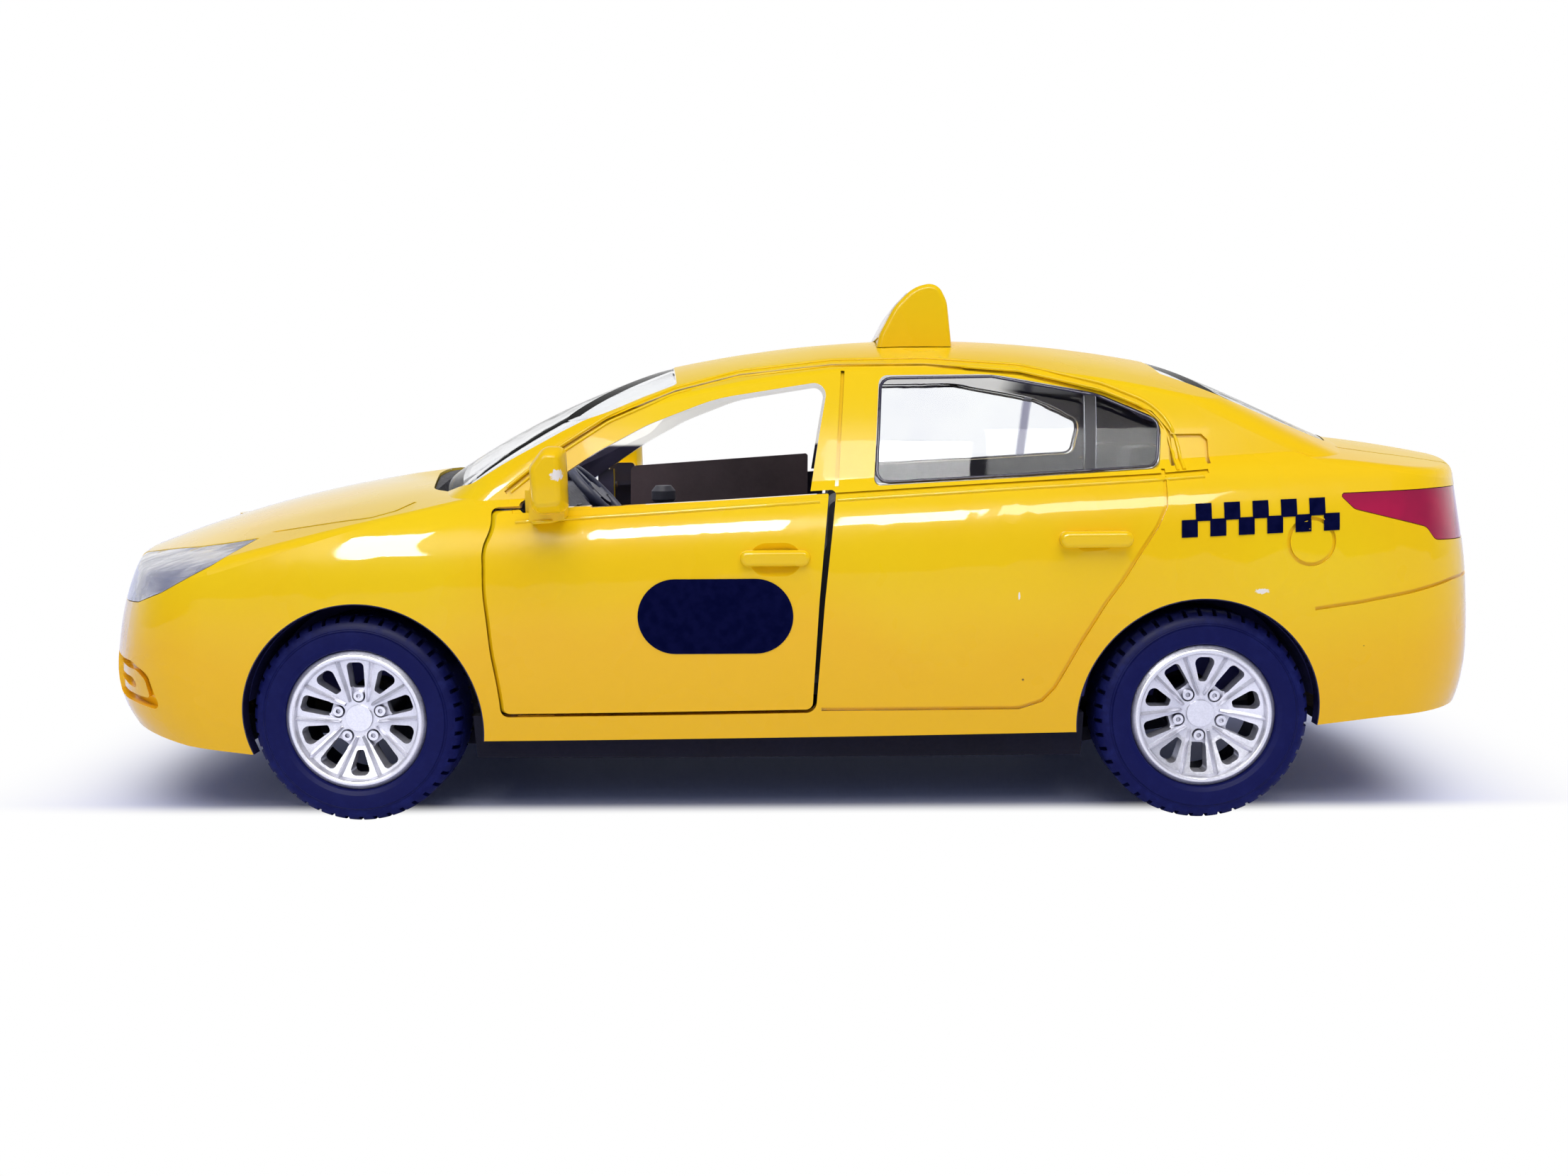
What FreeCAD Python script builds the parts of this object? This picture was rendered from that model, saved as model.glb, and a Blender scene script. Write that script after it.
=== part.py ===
"""Die-cast toy taxi, a four-door saloon near 1:37.5, in millimetres.

Frame: origin on the floor under the middle of the overall length, +X to the nose, +Y to the car's left, +Z up.
A thin zinc shell with two hinged front doors sits over a black plastic base. The tables hold the shape at the
reference size; the maps below stretch it when a driving dimension changes.
"""
import FreeCAD, Part
import math
import os
import time

V = FreeCAD.Vector

# ---------------------------------------------------------------- driving dimensions
LENGTH = 123.0            # nose to tail
HALF_WIDTH = 24.0         # widest part of the body sides, from the middle
ROOF_HEIGHT = 39.95       # top of the roof
WHEELBASE = 69.5
FRONT_OVERHANG = 26.7     # front axle to nose
SKIN = 1.25               # zinc wall of the body and doors
SEAT = 0.06               # gap between pieces that are pushed together
DOOR_GAP = 0.3            # open line round a hinged door
REAR_GAP = 0.3            # how much wider that line opens towards the top of the door's rear edge
EDGE_R = 1.3              # rounding where the bonnet meets the sides
ROOF_EDGE_R = 1.0         # rounding where the roof meets the sides
GROOVE_WIDTH = 0.3        # engraved panel lines
GROOVE_DEPTH = 0.22
ROOF_TOP_X = -12.0        # where the roof is highest
ROOF_ARC = 110.0          # radius of the roof line in side view
ROOF_CROWN = 0.0102       # drop of the roof per square millimetre from the middle
TYRE_R = 8.65
TYRE_WIDTH = 6.2
WHEEL_INSET = 1.4         # outer face of the tyres inside the widest part of the body
RIM_R = 5.83
HUB_R = 1.9
NUTS = 5
NUT_CIRCLE_R = 1.85
# Openings between the spokes: (radius, half width, corner) at both ends, and degrees from the nut.
RIM_SLOTS = (
    ((2.5, 0.6, 0.3), (4.8, 0.72, 0.38), 0),
    ((2.68, 0.28, 0.22), (4.78, 0.96, 0.5), 36),
)
# A spoke's ridge at both ends: distance out, aside, half width, depth of its foot and its crest.
RIDGE = ((1.4, 0.74, 0.24, 1.65, 1.0), (5.05, 1.48, 0.42, 0.95, 0.34))
TREAD_BLOCKS = 44
REAR_WHEEL_TURN = -38.0   # how far the rear wheels have rolled against the front ones
AXLE_R = 1.0
AXLE_FIT = 0.05           # running gap round an axle
ARCH_GAP = 1.3            # wheel arch radius over the tyre
PIN_R = 0.45              # door pins
PIN_FIT = 0.05
HINGE_BACK = 4.0          # hinge line behind the door's front edge
HINGE_IN = 3.4            # hinge line inside the widest part of the body
UNDERCUT = 1.12           # slant of the door's front edge: forward run for each unit inward
LUG_GAP = 0.25            # end play of the door on its pins
PANE = 0.8                # thickness of the clear mouldings
CARD = 0.7                # thickness of the door trim
CARD_IN = 2.3             # the door trim's outer face inside the skin of the door
SIDE_ROOM = 0.45          # gap between the interior and the door trim
WHEEL_ROOM = 1.2          # gap between the interior and the tyres

FRONT_X = LENGTH / 2
WHEEL_FACE_Y = HALF_WIDTH - WHEEL_INSET
WHEEL_BACK_Y = WHEEL_FACE_Y - TYRE_WIDTH
BEARING_Y = (WHEEL_BACK_Y - 5.4, WHEEL_BACK_Y - 2.4)
CARD_Y = HALF_WIDTH - SKIN - CARD_IN
AXLE_X = {"front": FRONT_X - FRONT_OVERHANG, "rear": FRONT_X - FRONT_OVERHANG - WHEELBASE}

# ---------------------------------------------------------------- shape tables at the reference size
REF_STATIONS = (-61.5, -34.7, 34.8, 61.5)
REF_WHEELBASE = 69.5
REF_HALF_WIDTH = 24.0
REF_ROOF = 39.95

LOWER_SECTIONS = [
    # height, slope, nose in by, tail in by, width share, nose_r, tail_r, nose corner, tail corner
    (3.5, -0.010, 5.2, 3.8, 0.893, 34, 44, 9.0, 8.0),
    (7.1, -0.012, 2.2, 1.3, 0.949, 33, 43, 9.5, 8.5),
    (10.0, -0.015, 0.35, 0.2, 0.977, 32, 42, 10.0, 9.0),
    (14.0, -0.022, 0.0, 0.0, 0.997, 32, 42, 10.0, 9.0),
    (18.5, -0.030, 0.75, 0.35, 1.000, 32, 42, 10.0, 9.0),
    (22.5, -0.038, 2.0, 1.0, 0.990, 32, 41, 9.5, 8.5),
    (25.3, -0.043, 3.6, 1.5, 0.959, 31, 40, 9.0, 8.0),
    (27.2, -0.0465, 5.6, 1.8, 0.892, 30, 39, 8.5, 7.5),
    (30.0, -0.0465, 9.0, 2.8, 0.760, 28, 36, 8.0, 7.0),
]
# Top line of bonnet, belt and boot lid: x, height on the middle line, drop per square of the way out.
DECK_LINE = [
    (64.0, 19.7, 0.0083), (45.0, 26.15, 0.0083), (30.0, 28.6, 0.0066), (20.0, 29.2, 0.0040),
    (15.0, 31.0, 0.0040), (-37.0, 33.0, 0.0040), (-43.5, 31.35, 0.0047), (-53.5, 30.3, 0.0047),
    (-64.0, 28.1, 0.0047)]
CABIN_SECTIONS = [
    # height, front x, rear x, half width
    (23.0, 37.3, -58.5, 22.0),
    (27.0, 32.0, -57.0, 20.95),
    (30.0, 27.5, -51.3, 19.95),
    (33.0, 22.0, -44.7, 18.75),
    (36.0, 15.0, -38.0, 17.05),
    (38.0, 8.8, -32.4, 15.6),
    (40.5, -1.0, -23.0, 13.0),
]
CABIN_FRONT_R = 36.0      # windscreen in plan
CABIN_REAR_R = 31.0       # rear screen in plan
CABIN_CORNER_R = 5.0      # pillars in plan
SIDE_BOW_R = 900.0        # the sides are all but flat in plan

# Outlines seen from the side: x, z, corner radius
UNDERSIDE = [
    (64, 9.3), (55, 7.5), (49.5, 6.3), (44, 5.6), (24, 6.9), (-24.5, 7.4), (-44, 7.7), (-50, 8.4), (-64, 9.2)]
BASE_UNDERSIDE = [(64, 9.9), (50, 7.4), (44, 6.4), (26, 5.0), (-26, 5.0), (-44, 8.0), (-64, 9.9)]
DOOR = [
    (20.6, 26.05, 2.0), (23.3, 22.9, 3.0), (23.7, 19.5, 15.0), (23.35, 14.6, 15.0), (21.95, 9.0, 0.9),
    (-3.15, 9.3, 0.9), (-3.8, 18.5, 20.0), (-4.65, 27.3, 0.4), (5.5, 26.75, 0.0)]
DOOR_FRONT_X = 23.8       # foremost point of the door
FRONT_WINDOW = [
    (20.9, 26.4, 0.3), (14.8, 30.4, 12.0), (10.6, 32.6, 10.0), (5.0, 34.7, 14.0), (-4.4, 36.1, 1.0),
    (-3.65, 32.0, 0.0), (-2.65, 26.0, 0.2), (20.9, 25.0, 0.2)]
REAR_WINDOW = [
    (-8.6, 36.5, 0.8), (-8.0, 27.55, 0.5), (-20.0, 28.1, 0.0), (-31.2, 28.7, 0.9), (-31.6, 32.6, 1.6),
    (-26.6, 34.85, 8.0), (-18.0, 36.5, 12.0)]
HEADLAMP = [
    (61.5, 17.3, 0.0), (53.4, 18.3, 1.2), (50.6, 19.3, 3.0), (46.0, 21.6, 3.0), (42.2, 24.2, 0.0),
    (42.2, 29.0, 0.0), (61.5, 29.0, 0.0)]
TAIL_LAMP = [
    (-44.9, 26.7, 0.25), (-46.2, 25.4, 1.0), (-50.2, 24.4, 2.0), (-52.2, 23.9, 1.0), (-53.1, 22.8, 0.8),
    (-64.0, 22.4, 0.4), (-64.0, 27.05, 0.4), (-53.5, 27.0, 1.0)]
FOG_RINGS = [
    # outline, depth below the skin
    ([(59.5, 13.4, 0.0), (54.3, 13.4, 1.5), (52.3, 12.5, 1.2), (51.3, 9.4, 0.5), (54.7, 9.9, 1.5),
      (59.5, 10.1, 0.0)], 0.8),
    ([(59.5, 12.6, 0.0), (54.0, 12.6, 1.2), (52.9, 11.9, 0.8), (52.5, 10.3, 0.3), (55.0, 10.5, 1.0),
      (59.5, 10.7, 0.0)], 0.3),
    ([(59.5, 11.9, 0.0), (54.6, 11.9, 0.6), (53.6, 10.9, 0.3), (56.0, 11.2, 0.8), (59.5, 11.3, 0.0)], 0.8),
]
FOG_INNER_Y = 14.5
TAIL_LAMP_INNER_Y = 11.5
DIVIDER = [(-25.5, 27.9), (-25.95, 35.3)]
SIGN = [
    (-8.55, 38.3, 0.0), (-9.0, 40.2, 2.0), (-10.3, 42.6, 4.0), (-12.0, 44.3, 3.0), (-14.1, 44.75, 1.3),
    (-14.95, 43.0, 2.5), (-15.45, 38.3, 0.0)]
SIGN_HALF = 9.3
SIGN_FACE = 0.7
# Outlines seen from above, x, y, corner radius: the lamp as it wraps over the wing, then half of each screen
LAMP_TOP = [
    (41.5, 19.7, 0.0), (45.8, 18.3, 3.0), (49.5, 16.6, 8.0), (54.5, 12.8, 8.0), (57.2, 10.2, 0.8),
    (66.0, 9.8, 0.0), (66.0, 30.0, 0.0), (41.5, 30.0, 0.0)]
WINDSCREEN = [
    (31.6, 0, 0), (31.2, 6, 0), (29.6, 14.6, 3.0), (25.4, 18.7, 1.5), (19.8, 18.5, 8.0), (14.1, 17.7, 5.0),
    (8.5, 14.2, 0.8), (9.6, 5, 0), (9.9, 0, 0)]
COWL_X = 29.45            # the black trim at the foot of the windscreen lies ahead of this
REAR_SCREEN = [
    (-48.9, 0, 0), (-48.5, 6, 0), (-46.6, 14.2, 1.5), (-37.3, 15.9, 1.5), (-33.0, 12.0, 1.0), (-32.9, 5, 0),
    (-32.8, 0, 0)]
# Outlines seen from the front: y, z, corner radius
UPPER_GRILLE = [(0, 18.0, 0), (7.6, 18.1, 0.5), (8.4, 20.1, 0.6), (0, 20.4, 0)]
LOWER_GRILLE = [(0, 9.9, 0), (10.4, 10.1, 0.8), (11.6, 13.0, 0.8), (0, 13.4, 0)]

# Engraved lines. Side lines are (x, z), top lines (x, y), end lines (y, z).
SIDE_LINES = {
    "rear_door": [
        (-31.3, 28.7), (-31.15, 25.8), (-30.4, 24.2), (-29.2, 22.4), (-27.7, 20.0), (-26.3, 18.1),
        (-24.4, 15.0), (-22.4, 11.3), (-21.4, 10.2), (-19.6, 9.6), (-3.6, 9.6)],
    "belt": [(21.4, 25.75), (10.0, 26.25), (-3.9, 26.85), (-18.0, 27.6), (-30.65, 28.2), (-34.9, 28.5)],
    "rear_bumper": [(-43.2, 17.5), (-46.8, 18.0), (-50.6, 18.7), (-55.0, 19.6), (-62.5, 20.2)],
}
CABIN_LINES = {
    "frame": [
        (22.2, 27.2), (18.2, 30.3), (13.9, 33.0), (8.45, 35.3), (3.2, 36.6), (-4.7, 37.35), (-12.5, 37.3),
        (-20.3, 36.5), (-26.9, 34.8), (-30.8, 33.2), (-32.1, 31.6), (-32.2, 28.2)],
    "pillar": [(-4.95, 27.2), (-5.6, 36.9)],
    "quarter": [(-32.2, 31.3), (-34.7, 31.3), (-35.1, 30.9), (-35.1, 28.3)],
}
TOP_LINES = {
    "bonnet": [(30.2, 18.2), (31.4, 19.9), (33.3, 20.5), (36.0, 19.95), (39.7, 19.2), (44.2, 18.0)],
    "bonnet_front": [(56.2, 10.3), (57.2, 5.0), (57.4, 0.0)],
    "boot": [(-47.4, 14.3), (-50.5, 15.3), (-56.0, 15.2), (-58.6, 13.2), (-61.4, 12.0)],
}
TAIL_LINES = {"lid": [(11.0, 22.6), (10.4, 19.4), (0.0, 19.2)]}
FLAP = (-42.75, 22.9)     # middle of the fuel flap, x and z
FLAP_R = 1.83

POSTS = {"front": (50.0, 24.4, 9.2), "rear": (-51.5, 29.9, 10.0)}   # screw posts: x, top inside the deck, foot
POST_R = 2.2
SCREW_R = 0.7
CARD_TOP = {"left": (25.3, 26.3), "right": (27.7, 28.9)}   # top of the door trim at its front and rear end
FLOOR_Z = 10.0
BASE_TOP = 8.8            # the base stays below the doors
BASE_PLATE = 1.2
LUG_R = 1.0
PIN_REACH = 1.2           # how far a pin goes into its lug
BOSS_R = 0.9              # hinge barrel on the door
BOSS_Z = (9.35, 23.7)
HANDLES = {"front": (-2.8, 2.8, 22.0), "rear": (-28.4, -22.6, 23.3)}
HANDLE_H = 1.3


# ---------------------------------------------------------------- maps from the reference size
def X(x):
    real = (-FRONT_X, AXLE_X["rear"], AXLE_X["front"], FRONT_X)
    i = 0 if x < REF_STATIONS[1] else 1 if x < REF_STATIONS[2] else 2
    share = (x - REF_STATIONS[i]) / (REF_STATIONS[i + 1] - REF_STATIONS[i])
    return real[i] + share * (real[i + 1] - real[i])


def Y(y):
    return y * HALF_WIDTH / REF_HALF_WIDTH


def Z(z):
    return z * ROOF_HEIGHT / REF_ROOF


# ---------------------------------------------------------------- helpers
def circle_meet(ax, ay, ra, bx, by, rb):
    """The two meeting points of two circles."""
    dx, dy = bx - ax, by - ay
    d = math.hypot(dx, dy)
    along = (ra * ra - rb * rb + d * d) / (2 * d)
    off = math.sqrt(ra * ra - along * along)
    mx, my = ax + along * dx / d, ay + along * dy / d
    return [(mx + off * dy / d, my - off * dx / d), (mx - off * dy / d, my + off * dx / d)]


def plan_outline(z, slope, nose, tail, half_width, nose_r, tail_r, nose_corner, tail_corner):
    """Closed outline of arcs seen from above: bowed ends and sides with round corners, all tangent."""
    middle = (nose + tail) / 2
    side_y = half_width - SIDE_BOW_R

    def corner(end, end_r, r, facing):
        ex = end - facing * end_r
        spots = circle_meet(ex, 0.0, end_r - r, middle, side_y, SIDE_BOW_R - r)
        cx, cy = [s for s in spots if s[1] > 0 and (s[0] - ex) * facing > 0][0]
        de, ds = math.hypot(cx - ex, cy), math.hypot(cx - middle, cy - side_y)
        on_end = (ex + (cx - ex) / de * end_r, cy / de * end_r)
        on_side = (middle + (cx - middle) / ds * SIDE_BOW_R, side_y + (cy - side_y) / ds * SIDE_BOW_R)
        hx, hy = (on_end[0] + on_side[0]) / 2 - cx, (on_end[1] + on_side[1]) / 2 - cy
        h = math.hypot(hx, hy)
        return on_end, (cx + hx / h * r, cy + hy / h * r), on_side

    def at(p, mirror=1):
        return V(p[0], mirror * p[1], z + slope * p[0])

    n_end, n_mid, n_side = corner(nose, nose_r, nose_corner, 1)
    t_end, t_mid, t_side = corner(tail, tail_r, tail_corner, -1)
    top = (middle, half_width)
    spans = [
        (at(n_end, -1), at((nose, 0)), at(n_end)),
        (at(n_end), at(n_mid), at(n_side)),
        (at(n_side), at(top), at(t_side)),
        (at(t_side), at(t_mid), at(t_end)),
        (at(t_end), at((tail, 0)), at(t_end, -1)),
        (at(t_end, -1), at(t_mid, -1), at(t_side, -1)),
        (at(t_side, -1), at(top, -1), at(n_side, -1)),
        (at(n_side, -1), at(n_mid, -1), at(n_end, -1)),
    ]
    return Part.Wire([Part.Arc(*s).toShape() for s in spans])


def rounded_wire(corners, place):
    """Closed wire through corners (u, v, radius), each corner rounded, put in space by place(u, v)."""
    n = len(corners)
    points = []
    for i, (u, v, r) in enumerate(corners):
        pu, pv = corners[i - 1][:2]
        nu, nv = corners[(i + 1) % n][:2]
        a = V(pu - u, pv - v, 0)
        b = V(nu - u, nv - v, 0)
        a.normalize()
        b.normalize()
        half = a.getAngle(b) / 2
        if r <= 0 or half > math.pi / 2 - 1e-3:
            points.append([V(u, v, 0)])
            continue
        cut = r / math.tan(half)
        mid = a + b
        mid.normalize()
        c = V(u, v, 0)
        points.append([c + a * cut, c + mid * (r / math.sin(half) - r), c + b * cut])
    edges = []
    for i, run in enumerate(points):
        if len(run) == 3:
            edges.append(Part.Arc(*[place(p.x, p.y) for p in run]).toShape())
        start, end = run[-1], points[(i + 1) % n][0]
        if (end - start).Length > 1e-6:
            edges.append(Part.makeLine(place(start.x, start.y), place(end.x, end.y)))
    return Part.Wire(edges)


def side_prism(corners, y_from, y_to, grow=0.0):
    """Prism along Y from an outline seen from the side, grown or shrunk by an offset."""
    real = [(X(x), Z(z), r) for x, z, r in corners]
    wire = rounded_wire(real, lambda u, v: V(u, y_from, v))
    if grow:
        wire = wire.makeOffset2D(grow)
    return Part.Face(wire).extrude(V(0, y_to - y_from, 0))


def top_prism(corners, z_from, z_to, grow=0.0):
    """Prism along Z from an outline seen from above."""
    real = [(X(x), Y(y), r) for x, y, r in corners]
    wire = rounded_wire(real, lambda u, v: V(u, v, Z(z_from)))
    if grow:
        wire = wire.makeOffset2D(grow)
    return Part.Face(wire).extrude(V(0, 0, Z(z_to) - Z(z_from)))


def end_prism(corners, x_from, x_to, grow=0.0):
    """Prism along X from an outline seen from the front."""
    real = [(Y(y), Z(z), r) for y, z, r in corners]
    wire = rounded_wire(real, lambda u, v: V(X(x_from), u, v))
    if grow:
        wire = wire.makeOffset2D(grow)
    return Part.Face(wire).extrude(V(X(x_to) - X(x_from), 0, 0))


def both_halves(outline, cross):
    """A half outline closed by its mirror image; cross is the index of the coordinate that flips."""
    back = []
    for p in outline[::-1]:
        if p[cross] > 0:
            q = list(p)
            q[cross] = -q[cross]
            back.append(tuple(q))
    return list(outline) + back


def strip(points, width):
    """Closed outline of constant width along a run of points, for engraved lines and bars."""
    left, right = [], []
    for i, (u, v) in enumerate(points):
        ways = []
        if i:
            ways.append(V(u - points[i - 1][0], v - points[i - 1][1], 0))
        if i + 1 < len(points):
            ways.append(V(points[i + 1][0] - u, points[i + 1][1] - v, 0))
        for w in ways:
            w.normalize()
        mean = ways[0] + ways[-1]
        mean.normalize()
        reach = width / 2 / max(0.5, mean.dot(ways[0]))
        left.append((u - mean.y * reach, v + mean.x * reach, 0))
        right.append((u + mean.y * reach, v - mean.x * reach, 0))
    return left + right[::-1]


def mirrored(shape):
    return shape.mirror(V(0, 0, 0), V(0, 1, 0))


def box(x0, x1, y0, y1, z0, z1):
    return Part.makeBox(x1 - x0, y1 - y0, z1 - z0, V(x0, y0, z0))


def cyl(r, start, end):
    a, b = V(*start), V(*end)
    return Part.makeCylinder(r, (b - a).Length, a, b - a)


def fuse(shapes):
    return shapes[0].multiFuse(shapes[1:]).removeSplitter()


def revolve(profile):
    """Solid of revolution about the Y axis from (radius, y) points; a run of three in a tuple is an arc."""
    edges = []
    last = first = None
    for p in profile:
        pts = [V(r, y, 0) for r, y in (p if isinstance(p[0], tuple) else [p])]
        if last is not None and (pts[0] - last).Length > 1e-6:
            edges.append(Part.makeLine(last, pts[0]))
        if len(pts) == 3:
            edges.append(Part.Arc(*pts).toShape())
        first = first or pts[0]
        last = pts[-1]
    edges.append(Part.makeLine(last, first))
    return Part.Face(Part.Wire(edges)).revolve(V(0, 0, 0), V(0, 1, 0), 360)


def two_halves(shape):
    """The left half and its mirror image as one solid, so that both sides are the same to the last digit."""
    half = shape.common(box(-LENGTH, LENGTH, 0, LENGTH, -LENGTH, LENGTH))
    return half.fuse(mirrored(half)).removeSplitter()


# ---------------------------------------------------------------- outer forms
def deck_cap(inset):
    """Everything under the bonnet, the belt and the boot lid: one crowned surface across the car."""
    wires = []
    for y in (-26.0, 0.0, 26.0):
        p = [V(X(x), Y(y), Z(z - crown * y * y) - inset) for x, z, crown in DECK_LINE]
        edges = [Part.makeLine(V(p[0].x, Y(y), -20), p[0]), Part.Arc(*p[:3]).toShape()]
        edges += [Part.makeLine(p[i], p[i + 1]) for i in range(2, len(p) - 3)]
        edges += [Part.Arc(*p[-3:]).toShape(), Part.makeLine(p[-1], V(p[-1].x, Y(y), -20))]
        edges.append(Part.makeLine(V(p[-1].x, Y(y), -20), V(p[0].x, Y(y), -20)))
        wires.append(Part.Wire(edges))
    return Part.makeLoft(wires, True, False)


def lower_form(inset):
    """The lower body as a closed solid, drawn in by inset; only the visible skins have their edges rounded."""
    wires = []
    for z, slope, nose_in, tail_in, share, nose_r, tail_r, nose_c, tail_c in LOWER_SECTIONS:
        wires.append(plan_outline(
            Z(z), slope, FRONT_X - nose_in - inset, -FRONT_X + tail_in + inset, HALF_WIDTH * share - inset,
            nose_r - inset, tail_r - inset, nose_c - inset * 0.5, tail_c - inset * 0.5))
    solid = Part.makeLoft(wires, True, False).common(deck_cap(inset))
    if not 0 <= inset <= 0.35:
        return solid
    nose, tail = [], []
    for e in solid.Edges:
        b = e.BoundBox
        if b.XMax - b.XMin > 0.3 and b.XMin > X(30.0) - 0.1 and b.ZMin > Z(18.5):
            nose.append(e)
        if b.XMax - b.XMin > 0.3 and b.XMax < X(-43.5) + 0.1 and b.ZMin > Z(26.0):
            tail.append(e)
    return two_halves(solid.makeFillet(EDGE_R - inset, nose + tail))


def cabin_form(inset, soft=True):
    """The cabin as a closed solid: sides leaning in under a crowned roof, drawn in by inset."""
    wires = []
    for z, front, rear, half_width in CABIN_SECTIONS:
        wires.append(plan_outline(
            Z(z) - inset * 1.1, 0.0, X(front), X(rear), Y(half_width) - inset * 0.65,
            CABIN_FRONT_R, CABIN_REAR_R, CABIN_CORNER_R, CABIN_CORNER_R))
    caps = []
    top = ROOF_HEIGHT - inset
    stretch = WHEELBASE / REF_WHEELBASE
    arc = ROOF_ARC * stretch ** 2
    reach = 0.518 * ROOF_ARC * stretch
    drop = arc - math.sqrt(arc ** 2 - reach ** 2)
    for y in (-24.0, 0.0, 24.0):
        z = top - Z(ROOF_CROWN * y * y)
        a, m, b = [V(X(ROOF_TOP_X) + dx, Y(y), z - dz) for dx, dz in ((reach, drop), (0, 0), (-reach, drop))]
        caps.append(Part.Wire([
            Part.makeLine(V(a.x, a.y, 0), a),
            Part.Arc(a, m, b).toShape(),
            Part.makeLine(b, V(b.x, b.y, 0)),
            Part.makeLine(V(b.x, b.y, 0), V(a.x, a.y, 0)),
        ]))
    solid = Part.makeLoft(wires, True, False).common(Part.makeLoft(caps, True, False))
    if not soft or not 0 <= inset <= 0.6:
        return solid
    rim = [e for e in solid.Edges if e.BoundBox.ZMin > Z(31.0)]
    return two_halves(solid.makeFillet(ROOF_EDGE_R - inset, rim))


# ---------------------------------------------------------------- shared cutters
def under_prism(profile, lift=0.0):
    pts = [(x, z + lift, 0) for x, z in profile]
    return side_prism(pts + [(-75, -30, 0), (75, -30, 0)], -60, 60)


def lying(outline, z0, z1, grow=0.0):
    return top_prism(both_halves(outline, 1), z0, z1, grow)


def door_prism(grow, rear_gap=0.0):
    """The door opening as a prism whose front edge slants forward going inward."""
    split = X(15.0)
    rear = [(x - rear_gap * max(0.0, z - 9.3) / 18 if x < 0 else x, z, r) for x, z, r in DOOR]
    plain = side_prism(rear, HALF_WIDTH - 5.0, HALF_WIDTH + 8.0, grow).common(box(X(-20), split, 0, 60, 0, 60))
    wires = []
    for y in (HALF_WIDTH + 3.0, HALF_WIDTH - 3.2):
        shift = (HALF_WIDTH - 0.4 - y) * UNDERCUT
        wire = rounded_wire([(X(x) + shift, Z(z), r) for x, z, r in DOOR], lambda u, v: V(u, y, v))
        wires.append(wire.makeOffset2D(grow) if grow else wire)
    lean = Part.makeLoft(wires, True, True)
    return plain.fuse(lean.common(box(split, X(40), 0, 60, 0, 60))).removeSplitter()


def head_lamp_prism(grow=0.0):
    return side_prism(HEADLAMP, Y(8), HALF_WIDTH + 6, grow).common(top_prism(LAMP_TOP, 10, 40, grow))


def tail_lamp_prism(grow=0.0):
    return side_prism(TAIL_LAMP, Y(TAIL_LAMP_INNER_Y) - grow, HALF_WIDTH + 6, grow)


began = time.time()


def say(text):
    print("%-28s %5.1f s" % (text, time.time() - began))


low0, low1 = lower_form(0.0), lower_form(SKIN)
cab0, cab1 = cabin_form(0.0), cabin_form(SKIN)
low_layer = lower_form(-0.7).cut(lower_form(GROOVE_DEPTH))
cab_layer = cabin_form(-0.5).cut(cabin_form(GROOVE_DEPTH))
say("forms")

side_grooves = []
for points in SIDE_LINES.values():
    prism = side_prism(strip(points, GROOVE_WIDTH), Y(8), HALF_WIDTH + 4)
    side_grooves.append(prism.common(low_layer))
for points in CABIN_LINES.values():
    prism = side_prism(strip(points, GROOVE_WIDTH), Y(8), HALF_WIDTH + 4)
    side_grooves.append(prism.common(cab_layer))
flap = [
    cyl(r, (X(FLAP[0]), Y(8), Z(FLAP[1])), (X(FLAP[0]), 30, Z(FLAP[1])))
    for r in (FLAP_R + GROOVE_WIDTH / 2, FLAP_R - GROOVE_WIDTH / 2)]
side_grooves.append(flap[0].cut(flap[1]).common(low_layer))
for points in TOP_LINES.values():
    side_grooves.append(top_prism(strip(points, GROOVE_WIDTH), 24, 40).common(low_layer))
for points in TAIL_LINES.values():
    side_grooves.append(end_prism(strip(points, GROOVE_WIDTH), -66, -55).common(low_layer))
say("grooves")


# ---------------------------------------------------------------- body shell
def handle_parts(x0, x1, z):
    """A pull handle and the finger dish behind it."""
    y_skin = HALF_WIDTH - 0.35
    half = HANDLE_H / 2
    grip = side_prism(
        [(x, z + up, half * 0.95) for x, up in ((x0, -half), (x1, -half), (x1, half), (x0, half))],
        y_skin - 0.5, y_skin + 0.65)
    outer = [e for e in grip.Edges if e.BoundBox.YMin > y_skin + 0.6]
    grip = grip.makeFillet(0.35, outer)
    middle = X((x0 + x1) / 2)
    y_ball = y_skin + 1.55
    dish = fuse([
        Part.makeSphere(1.95, V(middle - 0.7, y_ball, Z(z))),
        Part.makeSphere(1.95, V(middle + 0.7, y_ball, Z(z))),
        cyl(1.95, (middle - 0.7, y_ball, Z(z)), (middle + 0.7, y_ball, Z(z)))])
    return grip, dish


grips = {key: handle_parts(*sizes) for key, sizes in HANDLES.items()}
body = low0.fuse(cab0).cut(low1.fuse(cab1)).cut(under_prism(UNDERSIDE))
arch_sizes = [
    (AXLE_X["front"] - 0.65, TYRE_R - 0.25, ARCH_GAP + 0.05),
    (AXLE_X["rear"] + 0.45, TYRE_R - 0.15, ARCH_GAP - 0.1)]
cuts = [cyl(TYRE_R + gap, (x, -40, z), (x, 40, z)) for x, z, gap in arch_sizes]
one_side = [side_prism(w, Y(12), HALF_WIDTH + 8) for w in (FRONT_WINDOW, REAR_WINDOW)]
one_side.append(head_lamp_prism())
one_side.append(tail_lamp_prism())
one_side.append(door_prism(0.0, REAR_GAP))
cuts += one_side + [mirrored(c) for c in one_side]
cuts.append(lying(WINDSCREEN, 26.2, 60))
cuts.append(lying(REAR_SCREEN, 29.0, 60))
cuts.append(end_prism(both_halves(UPPER_GRILLE, 0), 52, 70))
cuts.append(end_prism(both_halves(LOWER_GRILLE, 0), 52, 70))
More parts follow.
